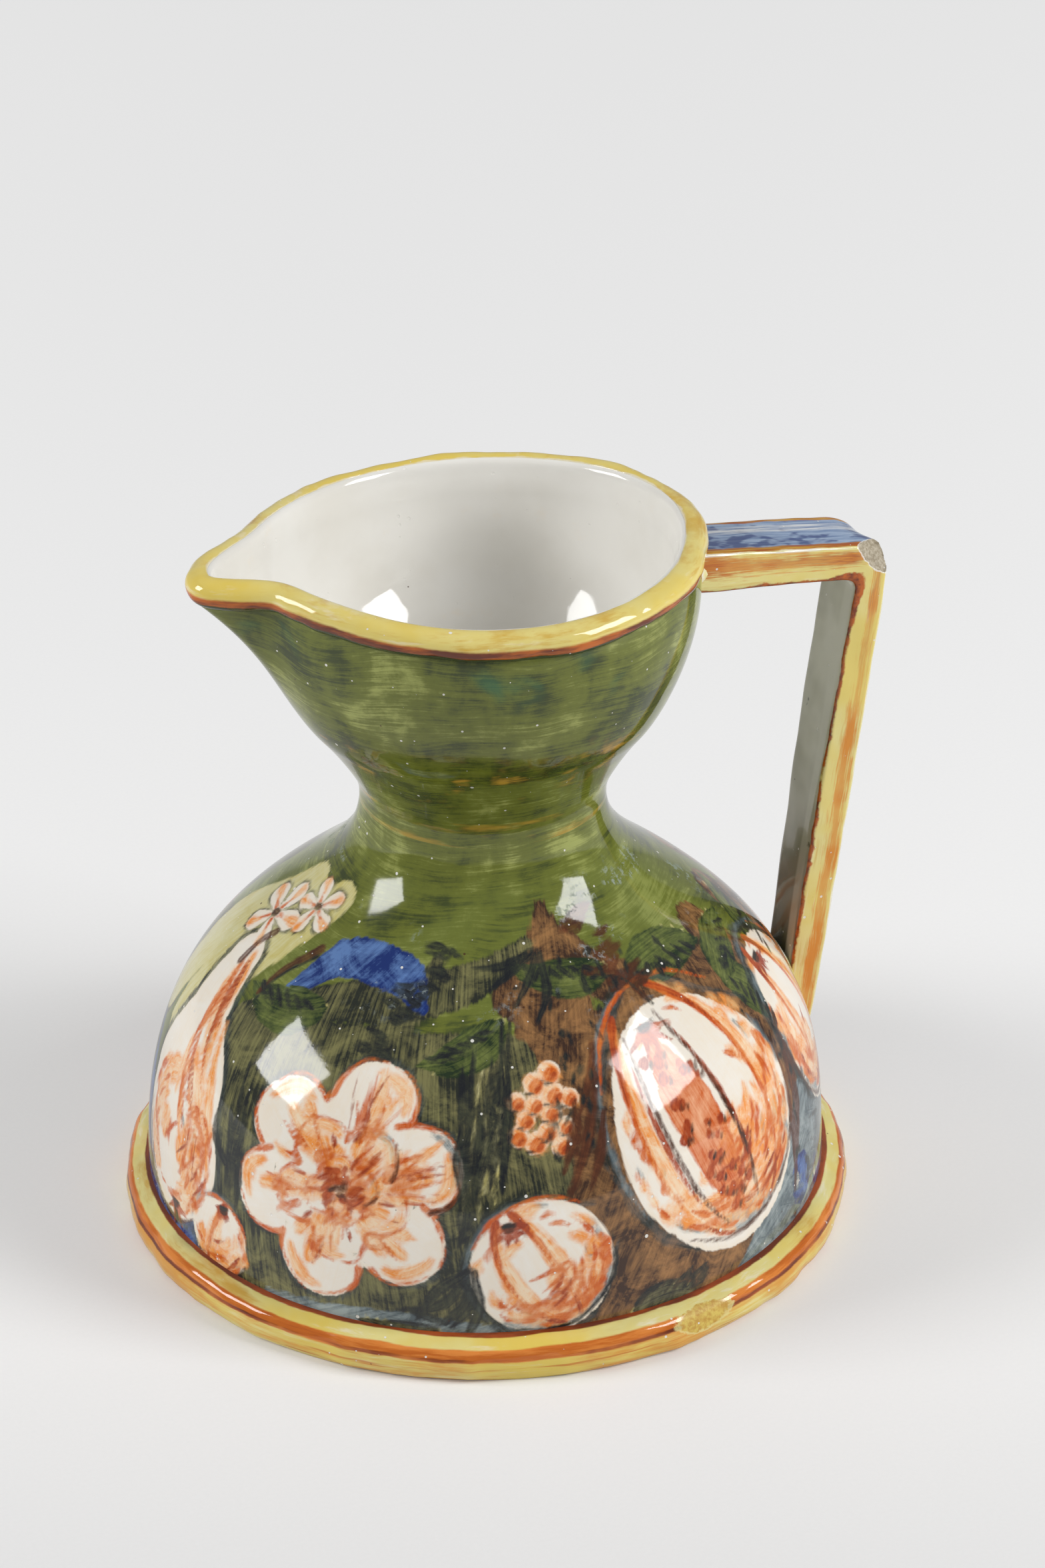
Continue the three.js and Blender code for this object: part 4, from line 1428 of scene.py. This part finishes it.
def painted_foot(tree):
    """Bands round the moulding: a rust line, yellow, orange and a paler yellow."""
    place = object_place(tree)
    band = field(tree, "section", "Fac")
    wobble = minus(noise(place, 42.0, 4.0, 0.55), 0.5)
    edge = scaled(wobble, 2.6, band)
    streak = streaks(place, (34.0, 34.0, 420.0), 5.0, 0.65)
    patch = noise(place, 24.0, 4.0, 0.6)
    rust = mixed(graded(streak, 0.35, 0.62), RUST, RUST_DARK)
    yellow = brushed_yellow(tree, streak, patch)
    orange = mixed(graded(streak, 0.4, 0.58), FOOT_ORANGE, AMBER)
    orange = mixed(graded(streak, 0.58, 0.72), orange, RUST)
    golden = graded(plus(streak, patch), 0.88, 1.12, 0.0, 0.75)
    pale = mixed(golden, mixed(0.5, yellow, LEMON), ORANGE)
    hair = streaks(place, (26.0, 26.0, 900.0), 4.0, 0.6)
    pale = mixed(graded(hair, 0.58, 0.68, 0.0, 0.7), pale, AMBER)
    colour = rust
    for (start, soft), paint in zip(FOOT_BANDS, (yellow, orange, pale)):
        colour = mixed(graded(edge, start - soft, start + soft), colour, paint)
    rule = times(graded(edge, 7.1, 7.5), graded(edge, 8.5, 8.0))
    broken = graded(patch, 0.4, 0.55)
    colour = mixed(times(rule, broken), colour, rust)
    return flaked(tree, colour)


def flaked(tree, colour):
    """A spot where the glaze has flaked to an amber, crazed bed with a pale edge."""
    place = object_place(tree)
    ragged = minus(noise(place, 260.0, 4.0, 0.7), 0.5)
    reach = scaled(ragged, 0.9, field(tree, "flake", "Fac"))
    crust = noise(place, 700.0, 4.0, 0.7)
    bed = mixed(graded(crust, 0.35, 0.65), FLAKE_PALE, FLAKE_AMBER)
    pale = mixed(graded(reach, 1.14, 1.04, 0.0, 0.7), colour, BUTTER)
    return mixed(graded(reach, 1.02, 0.9), pale, bed)


def flake_wear(tree):
    """Dull where the glaze has flaked."""
    return graded(field(tree, "flake", "Fac"), 1.0, 0.8)


def edge_orange(along, out, wobble, slow, streak, hair):
    """The broken orange band down the sides, and how strongly it covers."""
    deep = graded(along, CORNER_ALONG + 60, CORNER_ALONG + 10, 0.15, 1.0)
    orange = mixed(times(deep, graded(streak, 0.4, 0.62)), ORANGE, AMBER)
    orange = mixed(times(deep, graded(hair, 0.52, 0.7, 0.0, 0.8)), orange, RUST)
    off_middle = calc("ABSOLUTE", minus(scaled(wobble, 0.8, out), 0.3))
    on_arm = graded(along, CORNER_ALONG, CORNER_ALONG - 8)
    width = scaled(slow, 0.8, scaled(on_arm, 0.06, -0.12))
    ragged = scaled(minus(streak, 0.5), 1.3, minus(off_middle, width))
    band = graded(scaled(minus(hair, 0.5), 1.2, ragged), 0.26, -0.16)
    orange = mixed(graded(along, 22.0, 4.0, 0.0, 0.4), orange, RUST)
    by_chip = graded(calc("ABSOLUTE", minus(along, CORNER_ALONG - 4)), 26.0, 6.0, 0.0, 0.8)
    orange = mixed(times(by_chip, graded(hair, 0.4, 0.62)), orange, RUST)
    return orange, times(band, graded(slow, 0.36, 0.56, 0.55, 1.0))


def edge_rust(place, along, out, wobble, slow, streak):
    """The rust that pooled along the inner edges, and where it lies."""
    at_corner = graded(calc("ABSOLUTE", minus(along, CORNER_ALONG)), 16.0, 4.0)
    pooled = scaled(at_corner, -0.3, scaled(wobble, 0.75, out))
    pooled = scaled(graded(slow, 0.5, 0.7), -0.06, pooled)
    crust = noise(place, 360.0, 3.0, 0.65)
    pooled = scaled(minus(crust, 0.5), 0.4, pooled)
    thick = mixed(graded(plus(streak, crust), 0.8, 1.2), RUST, RUST_DARK)
    rust = mixed(graded(crust, 0.35, 0.6, 0.25, 0.95), AMBER, thick)
    return rust, graded(pooled, -0.76, -0.9)


def strap_top(along, side, margin, streak, pale_arris_and_highlight):
    """Blue with a row of dark dabs, between rust rails and a pale arris, lightened by thin glaze and a
    painted highlight.
    """
    dab_lie = joined(times(along, 0.17), times(side, 3.0), 0.0)
    dab = noise(dab_lie, 1.0, 2.0, 0.5)
    toward_rim = graded(along, 40.0, 4.0, 0.0, 0.09)
    near_row = graded(side, 0.3, -0.35, -0.07, 0.03)
    dabs_there = plus(plus(dab, toward_rim), near_row)
    blue = mixed(graded(streak, 0.34, 0.66), SKY, STEEL)
    blue = mixed(graded(dabs_there, 0.5, 0.66, 0.0, 0.85), blue, NIGHT)
    pale_run = times(graded(side, 0.05, 0.25), graded(side, 0.6, 0.42))
    blue = mixed(times(pale_run, graded(streak, 0.4, 0.6, 0.7, 0.1)), blue, TIN_WHITE)
    rail = mixed(graded(streak, 0.36, 0.64), OCHRE, RUST)
    top = mixed(graded(margin, 0.7, 0.78), blue, rail)
    return mixed(graded(margin, 0.92, 0.99), top, pale_arris_and_highlight)


def strap_underside(place, along, side, slow):
    """The grey inner face, darker towards the bell, with a painted lit band towards its near side, and
    seeded with specks.
    """
    grey = mixed(graded(slow, 0.36, 0.64), LICHEN_PALE, LICHEN)
    grey = mixed(graded(along, CORNER_ALONG + 50, CORNER_ALONG + 130), grey, LICHEN_DARK)
    # A paler band towards the near side of the inner face: painted light.
    painted_lit_band = times(graded(side, -0.35, -0.5), graded(side, -0.95, -0.8))
    grey = mixed(times(painted_lit_band, 0.5), grey, LICHEN_PALE)
    seeds = streaks(place, (300.0, 300.0, 160.0), 3.0, 0.6)
    return mixed(graded(seeds, 0.68, 0.74, 0.0, 0.7), grey, LICHEN_DARK)


def painted_strap(tree):
    """The handle: blue on top with dark dabs, rust edges, yellow sides, a grey inner face."""
    along, side, out = split(field(tree, "strap"))
    place = object_place(tree)
    wobble = minus(noise(place, 70.0, 4.0, 0.6), 0.5)
    slow = noise(place, 32.0, 3.0, 0.6)
    lie = joined(times(along, 0.055), times(side, 8.0), times(out, 5.0))
    streak = noise(lie, 1.0, 5.0, 0.62)
    finer = node(tree, "VectorMath", {0: lie, 1: (2.2, 3.1, 3.1)}, operation="MULTIPLY").outputs[0]
    hair = noise(finer, 1.0, 4.0, 0.65)
    margin = scaled(wobble, 0.3, calc("ABSOLUTE", side))
    # Pale arris colour: glaze running thin at the edge, and a painted highlight along it.
    pale_arris_and_highlight = mixed(graded(streak, 0.4, 0.56), TIN_WHITE, BUTTER)
    colour = mixed(0.3, brushed_yellow(tree, streak, slow), BUTTER)
    orange, strength = edge_orange(along, out, wobble, slow, streak, hair)
    colour = mixed(strength, colour, orange)
    rust, pooled = edge_rust(place, along, out, wobble, slow, streak)
    colour = mixed(pooled, colour, rust)
    # Lays the pale arris along the top of each side: partly thin glaze, partly painted highlight.
    colour = mixed(graded(scaled(wobble, 0.16, out), 0.78, 0.9), colour, pale_arris_and_highlight)
    colour = mixed(graded(out, 0.95, 0.985), colour, strap_top(along, side, margin, streak, pale_arris_and_highlight))
    under = times(graded(out, -0.94, -0.985), graded(margin, 0.99, 0.93))
    return mixed(under, colour, strap_underside(place, along, side, slow))


def chipped(tree, colour):
    """Bare clay where the corner broke off, with a pale line of glaze round it."""
    broken = field(tree, "chip", "Fac")
    crumb = noise(object_place(tree), 900.0, 4.0, 0.7)
    clay = mixed(graded(crumb, 0.35, 0.7), CLAY_DARK, CLAY)
    rimmed = mixed(graded(broken, 0.4, 0.2, 0.0, 0.8), colour, TIN_WHITE)
    return mixed(graded(broken, 0.06, -0.06), rimmed, clay)


def painted_handle(tree):
    return chipped(tree, painted_strap(tree))


def chip_wear(tree):
    """Dull where the corner is broken."""
    return graded(field(tree, "chip", "Fac"), 0.1, -0.1, 0.0, 1.6)


def painted_slip(tree):
    """Pale slip with the paint of the handle dragged over it."""
    place = object_place(tree)
    tone = noise(place, 150.0, 4.0, 0.6)
    colour = mixed(graded(tone, 0.36, 0.56), BUTTER, TIN_WHITE)
    return mixed(graded(tone, 0.52, 0.7), colour, AMBER)


def painted_crease(tree):
    """The green of the neck, stained ochre in the crease."""
    stain = streaks(object_place(tree), (40.0, 40.0, 260.0), 4.0, 0.6)
    return mixed(graded(stain, 0.5, 0.7, 0.0, 0.55), green_ground(tree), OCHRE)


def bare_clay():
    """The unglazed clay of the underside, white where it faces the inside."""
    material, tree, shader = new_material("bare_clay")
    crumb = noise(object_place(tree), 500.0, 5.0, 0.65)
    clay = mixed(graded(crumb, 0.35, 0.7), CLAY_DARK, CLAY)
    tree.links.new(inside_white(tree, clay), shader.inputs["Base Color"])
    bump = node(tree, "Bump", {"Height": crumb, "Strength": 0.6, "Distance": 0.2 * MM})
    tree.links.new(bump.outputs[0], shader.inputs["Normal"])
    tree.links.new(graded(field(tree, "inside", "Fac"), 0.0, 1.0, 0.85, 0.1), shader.inputs["Roughness"])
    return material


# Pieces


BELL_COLUMNS = 540


def bell_wall():
    """The bell and neck with the picture round it."""
    upright = [[bell_radius, height] for height in (0.0, 3.0, 6.0)]
    outside = np.vstack([upright, climb(BELL_RUNS, 1.05)])
    inside = climb(BELL_RUNS, 8.0, lambda part: -WALL)[::-1]
    outside[-1, 1] = inside[0, 1] = waist_height
    outline = np.vstack([outside, inside, [[bell_radius - WALL, 0.0]]])
    rows = lean_neck(by_hand(turn_outline(outline, BELL_COLUMNS)))
    within = np.zeros(rows.shape[:2])
    within[len(outside):] = 1
    front_of_bell()
    back_of_bell()
    fields = {"inside": within}
    outer = turn_outline(outside, BELL_COLUMNS)
    for pigment, strokes in picture.items():
        values = np.tile([FAR, 0.0, 0.0], (*rows.shape[:2], 1))
        values[:len(outside)] = brush_field(outer, strokes, MASSES.get(pigment))
        fields["stroke_" + pigment] = values
    piece = skin("bell_wall", rows, close_rows=True, fields=fields)
    material = glaze("picture_glaze", painted_picture, worn=scuffs)
    return finish_piece(piece, material, "bell_glaze", "bell_body")


def bowl_wall():
    """The bowl with its spout, lip and inner wall."""
    outside = climb(BOWL_RUNS, 1.2)
    outside[0, 1] = waist_height
    inside = through(INNER_WALL, 50) + [0, waist_height]
    lip = np.array([[1.6, -0.8], [-0.6, 2.9], [-1.3, 3.5], [-1.95, 3.5], [-2.55, 3.1], [-2.98, 2.3],
                    [-3.28, 1.3], [-3.53, 0.2], [-3.8, -1.0], [-4.07, -2.2]]) + [RIM_RADIUS, rim_height]
    outline = np.vstack([outside, lip, inside[::-1]])
    rows = lean_neck(by_hand(pull_spout(outline, 420, len(outside) + 1, len(outside) + len(lip))))
    within = np.zeros(rows.shape[:2])
    within[len(outside) + 1:] = 1
    piece = skin("bowl_wall", rows, close_rows=True, fields={"inside": within})
    return finish_piece(piece, glaze("bowl_glaze", painted_bowl), "bowl_glaze", "upper_bowl")


def waist_fillet():
    """Slip smoothed into the crease between neck and bowl, flush with both."""
    height = waist_height + np.linspace(-FILLET_REACH, FILLET_REACH, 25)
    wall = wall_radius(height)
    filled = np.convolve(np.pad(wall, 4, "reflect", reflect_type="odd"), np.ones(9) / 9, "valid")
    share = np.cos(np.linspace(-0.5, 0.5, 25) * math.pi)
    outer = np.column_stack([filled + 0.55 * share - 0.3, height])
    outline = np.vstack([outer, [[WAIST_RADIUS - 1.2, height[-1]], [WAIST_RADIUS - 1.2, height[0]]]])
    rows = lean_neck(by_hand(turn_outline(outline, 360)))
    piece = skin("waist_fillet", rows, close_rows=True)
    return finish_piece(piece, glaze("crease_glaze", painted_crease), "luting_glaze", "waist_luting")


def rim_roll():
    """The roll along the mouth, flatter behind the lip."""
    angle = crowded(np.linspace(0, FULL_TURN, 480, endpoint=False))
    path = lean_neck(by_hand(rim_line(angle)))
    turn = np.linspace(0, FULL_TURN, 48, endpoint=False)
    degrees = np.degrees(turn)
    behind_lip = eased((degrees - 112) / 18) * eased((255 - degrees) / 30)
    section = (np.column_stack([np.cos(turn), np.sin(turn)])
               * (ROLL_RADIUS - BEHIND_LIP * behind_lip)[:, None])
    fields = {"section": np.where(degrees > 230, degrees - 360, degrees),
              "outward": eased(0.5 + 0.5 * np.cos(turn))}
    piece = swept_coil("rim_roll", path, section, fields, 2.4, 17.0,
                       glaze("rim_glaze", painted_roll, waves=0.2))
    return finish_piece(piece, None, "rim_glaze", "rim_coil")


def foot_moulding():
    """The moulding round the foot, with one flaked place."""
    inner = -1.0
    edge = foot_radius - bell_radius
    corners = [(inner, foot_top + 0.3), (SEAM, foot_top), (edge - 2.1, foot_top - 2.1),
               (edge - 0.7, 7.6), (edge, 4.4), (edge - 0.5, 1.6), (edge - 2.0, 0.0)]
    outer = through(corners, 44)
    length = np.append(0, np.cumsum(np.hypot(*np.diff(outer, axis=0).T)))
    section = np.vstack([outer, [[inner, 0.0]]])
    turn = np.linspace(0, FULL_TURN, 540, endpoint=False)
    path = np.column_stack([np.cos(turn), np.sin(turn), 0 * turn]) * bell_radius
    fields = {"section": np.append(length - 1.4, FAR),
              "outward": np.append(eased((outer[:, 0] - 0.6) / 2) * eased(outer[:, 1] / 1.5), 0)}
    piece = swept_coil("foot_moulding", path, section, fields, 3.4, 22.0,
                       glaze("foot_glaze", painted_foot, waves=0.2, worn=flake_wear))
    places = np.array([vertex.co for vertex in piece.data.vertices]) / MM
    azimuth = math.radians(FRONT + FLAKE_TURN)
    middle = np.array([foot_radius * math.cos(azimuth), foot_radius * math.sin(azimuth), FLAKE_HEIGHT])
    along = np.array([-math.sin(azimuth), math.cos(azimuth), 0])
    off = places - middle
    aside = off @ along
    across = np.linalg.norm(off - aside[:, None] * along, axis=1)
    flake = np.hypot(aside / FLAKE_LENGTH, across / FLAKE_WIDTH)
    add_fields(piece.data, {"flake": flake})
    return finish_piece(piece, None, "foot_glaze", "foot_ring")


def floor_disc():
    """The floor, rounded up to the wall inside."""
    outline = np.array([[0.5, 0.6], [60.0, 0.6], [78.0, 0.3], [84.0, 0.0], [bell_radius - WALL + 0.5, 0.0],
                        [bell_radius - WALL + 0.5, floor_top + 3], [bell_radius - WALL - 3, floor_top + 0.8],
                        [bell_radius - WALL - 12, floor_top], [0.5, floor_top]])
    rows = turn_outline(outline, 180)
    within = np.zeros(rows.shape[:2])
    within[5:] = 1
    piece = skin("floor_disc", rows, fields={"inside": within})
    return finish_piece(piece, bare_clay(), "bare_clay", "floor_slab")


def rounded(line, reach):
    """A line of close points with its corners eased over a reach."""
    length = np.append(0, np.cumsum(np.linalg.norm(np.diff(line, axis=0), axis=1)))
    dense = np.linspace(0, length[-1], 4000)
    fine = np.column_stack([np.interp(dense, length, line[:, axis]) for axis in range(line.shape[1])])
    half = max(1, int(reach / (dense[1] - dense[0])))
    window = np.hanning(2 * half + 1)
    window /= window.sum()
    padded = np.vstack([np.tile(fine[0], (half, 1)), fine, np.tile(fine[-1], (half, 1))])
    smoothed = np.column_stack([np.convolve(padded[:, axis], window, "valid")
                                for axis in range(line.shape[1])])
    smoothed[:half], smoothed[-half:] = fine[:half], fine[-half:]
    return np.column_stack([np.interp(length, dense, smoothed[:, axis]) for axis in range(line.shape[1])])


def strap_faces(outer_reach, inner_reach):
    """The outer and inner faces of the strap, seen from the side, point for point."""
    root = mouth_radius - WALL / 2
    rise = ARM_RISE / (handle_reach - mouth_radius)
    outer_corner = np.array([handle_reach, corner_height])
    inner_corner = np.array([handle_reach - UPRIGHT_THICKNESS, corner_height - ARM_THICKNESS])
    top_root = np.array([root, corner_height + (handle_reach - root) * rise])
    low_root = top_root - [0, ARM_ROOT_THICKNESS]
    arm = np.linspace(0, 1, 90)[:, None] ** 0.8
    upright = np.linspace(0, 1, 260)[1:, None] ** 1.25
    landing = np.array([bell_radius - LANDING_DEPTH, LANDING_HEIGHT])
    straight_end = np.array([bell_radius + LANDING_PROUD, LANDING_HEIGHT])
    outer_down = outer_corner + (straight_end - outer_corner) * upright
    bend = np.clip((LANDING_HEIGHT + BEND_LENGTH - outer_down[:, 1:]) / BEND_LENGTH, 0, 1) ** 2
    outer_down = outer_down + (landing - straight_end) * bend
    inner_foot = np.array([inner_corner[0] - (inner_corner[1] - LANDING_HEIGHT) * lean, LANDING_HEIGHT])
    inner_down = inner_corner + (inner_foot - inner_corner) * upright
    inner_down[:, :1] -= 4 * UPRIGHT_BOW * upright * (1 - upright)
    outer = np.vstack([top_root + (outer_corner - top_root) * arm, outer_down])
    inner = np.vstack([low_root + (inner_corner - low_root) * arm, inner_down])
    return rounded(outer, outer_reach), rounded(inner, inner_reach)


def rounded_box(count):
    """Places round a unit square, as side and out, closer together at its corners."""
    share = np.sin(np.linspace(-1, 1, count, endpoint=False) * math.pi / 2)
    one = np.ones(count)
    return np.concatenate([share, one, -share, -one]), np.concatenate([one, -share, -one, share])


def round_edges(side, out, half_width, half_thickness):
    """Ways aside and outwards in the strap, with its four edges rounded."""
    over_side = np.maximum(np.abs(side) - (half_width - ARRIS), 0)
    over_out = np.maximum(np.abs(out) - (half_thickness - ARRIS), 0)
    over = np.hypot(over_side, over_out)
    kept_back = 1 - np.where(over > ARRIS, ARRIS / np.maximum(over, 1e-6), 1.0)
    return (np.sign(side) * (np.abs(side) - over_side * kept_back),
            np.sign(out) * (np.abs(out) - over_out * kept_back))


def break_corner(rows):
    """Breaks the corner off the strap in place, and gives how far each point is from the break."""
    ball = 2 * CHIP_SIZE
    corner_point = np.array([handle_reach, -CORNER_WIDTH / 2, corner_height - CHIP_DROP])
    middle = corner_point + OFF_CORNER * (ball - CHIP_DEPTH)
    away = np.linalg.norm(rows - middle, axis=-1)
    ragged = ball + 0.35 * smooth_noise(rows, 5, 5) + 0.15 * smooth_noise(rows, 1.7, 6)
    broken = away < ragged
    rough = ragged + 0.2 * smooth_noise(rows, 3.1, 8) + 0.08 * smooth_noise(rows, 1.1, 9)
    rows[broken] = (middle + (rows - middle) * (rough / away)[..., None])[broken]
    return away - ragged


def handle_strap():
    """The handle's strap, with its broken corner."""
    side, out = rounded_box(30)
    near_outer, inner = strap_faces(CORNER_SOFTNESS, INNER_CORNER_SOFTNESS)
    far_outer, inner = strap_faces(FAR_CORNER_SOFTNESS, INNER_CORNER_SOFTNESS)
    far = eased((side + 1) / 1.5)[None, :, None]
    outer = near_outer[:, None] + (far_outer - near_outer)[:, None] * far
    inner = inner[:, None] + 0 * outer
    centre = (outer + inner) / 2
    thick = (outer - inner) / 2
    half = np.linalg.norm(thick, axis=-1)
    spine = (near_outer + inner[:, 0]) / 2
    along = np.append(0, np.cumsum(np.linalg.norm(np.diff(spine, axis=0), axis=1)))[:, None]
    down = np.clip((corner_height - spine[:, 1]) / (corner_height - LANDING_HEIGHT), 0, 1)
    back = np.clip((handle_reach - spine[:, 0]) / (handle_reach - mouth_radius), 0, 1)
    on_arm = spine[:, 1] > corner_height - ARM_THICKNESS
    width = np.where(on_arm, CORNER_WIDTH + (ROOT_WIDTH - CORNER_WIDTH) * back,
                     CORNER_WIDTH + (LANDING_WIDTH - CORNER_WIDTH) * down) / 2
    width = np.convolve(np.pad(width, 6, "edge"), np.ones(13) / 13, "valid")[:, None]
    reach_side = width * side
    reach_out = half * out
    reach_side, reach_out = round_edges(reach_side, reach_out, width, half)
    way = thick / half[..., None]
    x = centre[..., 0] + way[..., 0] * reach_out
    z = centre[..., 1] + way[..., 1] * reach_out
    sway = 0.45 * np.sin(along / 23) * np.clip(along / 20, 0, 1)
    rows = np.stack([x, reach_side + sway, z], axis=-1)
    bumps = smooth_noise(rows, 26, 3)[..., None] * 0.34 + smooth_noise(rows, 9, 4)[..., None] * 0.09
    rows += bumps * unit(np.stack([way[..., 0] * out, side + 0 * x, way[..., 1] * out], axis=-1))
    chip = break_corner(rows)
    strap = np.stack([along + 0 * x, side + 0 * x, out + 0 * x], axis=-1)
    piece = skin("handle_strap", rows, fields={"strap": strap, "chip": chip})
    material = glaze("handle_glaze", painted_handle, waves=0.16, worn=chip_wear)
    return finish_piece(piece, material, "handle_glaze", "handle_arm", "handle_upright")


def collar(name, centres, way, half_thickness, half_width, grows, material, node_name):
    """Slip smoothed round the strap, as rings that hug it less and less."""
    side, out = rounded_box(16)
    rows = []
    for centre, thick, wide, grow in zip(centres, half_thickness, half_width, grows):
        length = np.hypot(side, out)
        edge = 1 / np.maximum(np.abs(side), np.abs(out)) ** 0.35
        x = centre + way * ((thick + grow) * out / length * edge)[:, None]
        rows.append(x + np.array([0, 1, 0]) * ((wide + grow) * side / length * edge)[:, None])
    piece = skin(name, np.array(rows))
    return finish_piece(piece, material, "luting_glaze", node_name)


def rim_slip(material):
    """The slip where the arm meets the bowl."""
    outer, inner = strap_faces(CORNER_SOFTNESS, INNER_CORNER_SOFTNESS)
    middle = (outer + inner) / 2
    centres, thick = [], []
    for reach in np.linspace(-2, 4.5, 8):
        row = int(np.argmin(np.abs(middle[:90, 0] - (mouth_radius + reach))))
        centres.append(np.array([mouth_radius + reach, 0, middle[row, 1]]))
        thick.append((outer[row, 1] - inner[row, 1]) / 2)
    grows = [2.6, 2.5, 2.1, 1.5, 0.9, 0.45, 0.1, -0.4]
    return collar("rim_slip", centres, np.array([0, 0, 1.0]), thick, [ROOT_WIDTH / 2] * 8, grows,
                  material, "rim_luting")


def shoulder_slip(material):
    """The slip where the upright meets the bell."""
    low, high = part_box("shoulder_luting")
    heights = np.linspace(low.z / MM, high.z / MM - 1, 12)
    centres, thick, wide, grows = [], [], [], []
    for height in heights:
        wall = wall_radius(height)
        part = (height - heights[0]) / (heights[-1] - heights[0])
        down = (corner_height - height) / (corner_height - LANDING_HEIGHT)
        centres.append(np.array([wall - 0.6, 0, height]))
        thick.append(2.2)
        wide.append(CORNER_WIDTH / 2 + (LANDING_WIDTH - CORNER_WIDTH) / 2 * min(1, down))
        grows.append(1.6 * math.sin(math.pi * min(1, part * 1.02)) ** 0.6 - 0.6)
    return collar("shoulder_slip", centres, np.array([1.0, 0, 0]), thick, wide, grows,
                  material, "shoulder_luting")


bell_wall()
bowl_wall()
waist_fillet()
rim_roll()
foot_moulding()
floor_disc()
handle_strap()
slip_glaze = glaze("slip_glaze", painted_slip)
rim_slip(slip_glaze)
shoulder_slip(glaze("shoulder_glaze", painted_slip))

# Camera

CAMERA_AZIMUTH = -20.0
CAMERA_DISTANCE = 1.01629
CAMERA_HEIGHT = 0.66512
CAMERA_YAW = 0.0107329
CAMERA_PITCH = 0.490242
CAMERA_ROLL = -0.0079394
FOCAL_PIXELS = 6500.0
IMAGE_HEIGHT = 2352
SENSOR = 36.0


def add_camera():
    """The camera that was fitted to the photo."""
    forward = Vector((math.sin(CAMERA_YAW) * math.cos(CAMERA_PITCH),
                      math.cos(CAMERA_YAW) * math.cos(CAMERA_PITCH), -math.sin(CAMERA_PITCH)))
    level = Vector((math.cos(CAMERA_YAW), -math.sin(CAMERA_YAW), 0))
    above = level.cross(forward)
    right = level * math.cos(CAMERA_ROLL) + above * math.sin(CAMERA_ROLL)
    up = above * math.cos(CAMERA_ROLL) - level * math.sin(CAMERA_ROLL)
    turn = Matrix.Rotation(math.radians(CAMERA_AZIMUTH), 3, "Z")
    axes = turn @ Matrix((right, up, -forward)).transposed()
    camera = bpy.data.objects.new("camera", bpy.data.cameras.new("camera"))
    camera.matrix_world = (Matrix.Translation(turn @ Vector((0, -CAMERA_DISTANCE, CAMERA_HEIGHT)))
                           @ axes.to_4x4())
    camera.data.sensor_width = SENSOR
    camera.data.sensor_height = SENSOR
    camera.data.lens = FOCAL_PIXELS * SENSOR / IMAGE_HEIGHT
    show(camera)
    bpy.context.scene.camera = camera


def add_softbox(name, azimuth, elevation, distance, width, height, power):
    """A soft lamp that faces the pitcher, at an angle from the camera's side."""
    turn = math.radians(CAMERA_AZIMUTH + azimuth - 90)
    rise = math.radians(elevation)
    lamp = bpy.data.lights.new(name, "AREA")
    lamp.shape = "RECTANGLE"
    lamp.size = width
    lamp.size_y = height
    lamp.energy = power
    holder = bpy.data.objects.new(name, lamp)
    aim = Vector((0, 0, 0.1))
    way = Vector((math.cos(turn) * math.cos(rise), math.sin(turn) * math.cos(rise), math.sin(rise)))
    holder.location = aim + way * distance
    holder.rotation_euler = (-way).to_track_quat("-Z", "Y").to_euler()
    show(holder)


def add_floor():
    """A pale sheet of paper that looks evenly lit to its far end."""
    mesh = bpy.data.meshes.new("floor")
    reach = 6.0
    mesh.from_pydata([(-reach, -reach, 0), (reach, -reach, 0), (reach, reach, 0), (-reach, reach, 0)],
                     [], [(0, 1, 2, 3)])
    floor = bpy.data.objects.new("floor", mesh)
    material, tree, shader = new_material("floor_paper")
    distance = node(tree, "VectorMath", {0: object_place(tree)}, operation="LENGTH").outputs["Value"]
    seen = node(tree, "LightPath").outputs["Is Camera Ray"]
    away = Vector((-math.sin(math.radians(CAMERA_AZIMUTH)), math.cos(math.radians(CAMERA_AZIMUTH)), 0))
    depth = node(tree, "VectorMath", {0: object_place(tree), 1: away},
                 operation="DOT_PRODUCT").outputs["Value"]
    lift = plus(graded(distance, 0.3, 1.5, 0.14, 0.26), graded(depth, -0.3, 0.02, -0.16, 0.0))
    tree.links.new(times(lift, seen), shader.inputs["Emission Strength"])
    shader.inputs["Emission Color"].default_value = (1, 1, 1, 1)
    grain = noise(object_place(tree), 900.0, 2.0)
    tree.links.new(mixed(grain, shade(228, 228, 228), shade(232, 232, 232)), shader.inputs["Base Color"])
    shader.inputs["Roughness"].default_value = 0.9
    shader.inputs["Specular IOR Level"].default_value = 0.2
    mesh.materials.append(material)
    show(floor)


def light_room():
    """A plain white room."""
    world = bpy.data.worlds.new("room")
    bpy.context.scene.world = world
    world.use_nodes = True
    background = world.node_tree.nodes["Background"]
    background.inputs["Color"].default_value = (1, 1, 1, 1)
    background.inputs["Strength"].default_value = 0.33
    bpy.context.scene.view_settings.view_transform = "Standard"


add_camera()
add_floor()
light_room()
add_softbox("left_softbox", -82, 28.5, 2.4, 1.04, 0.8, 30)
add_softbox("right_softbox", 74, 32, 2.4, 0.94, 1.1, 39)
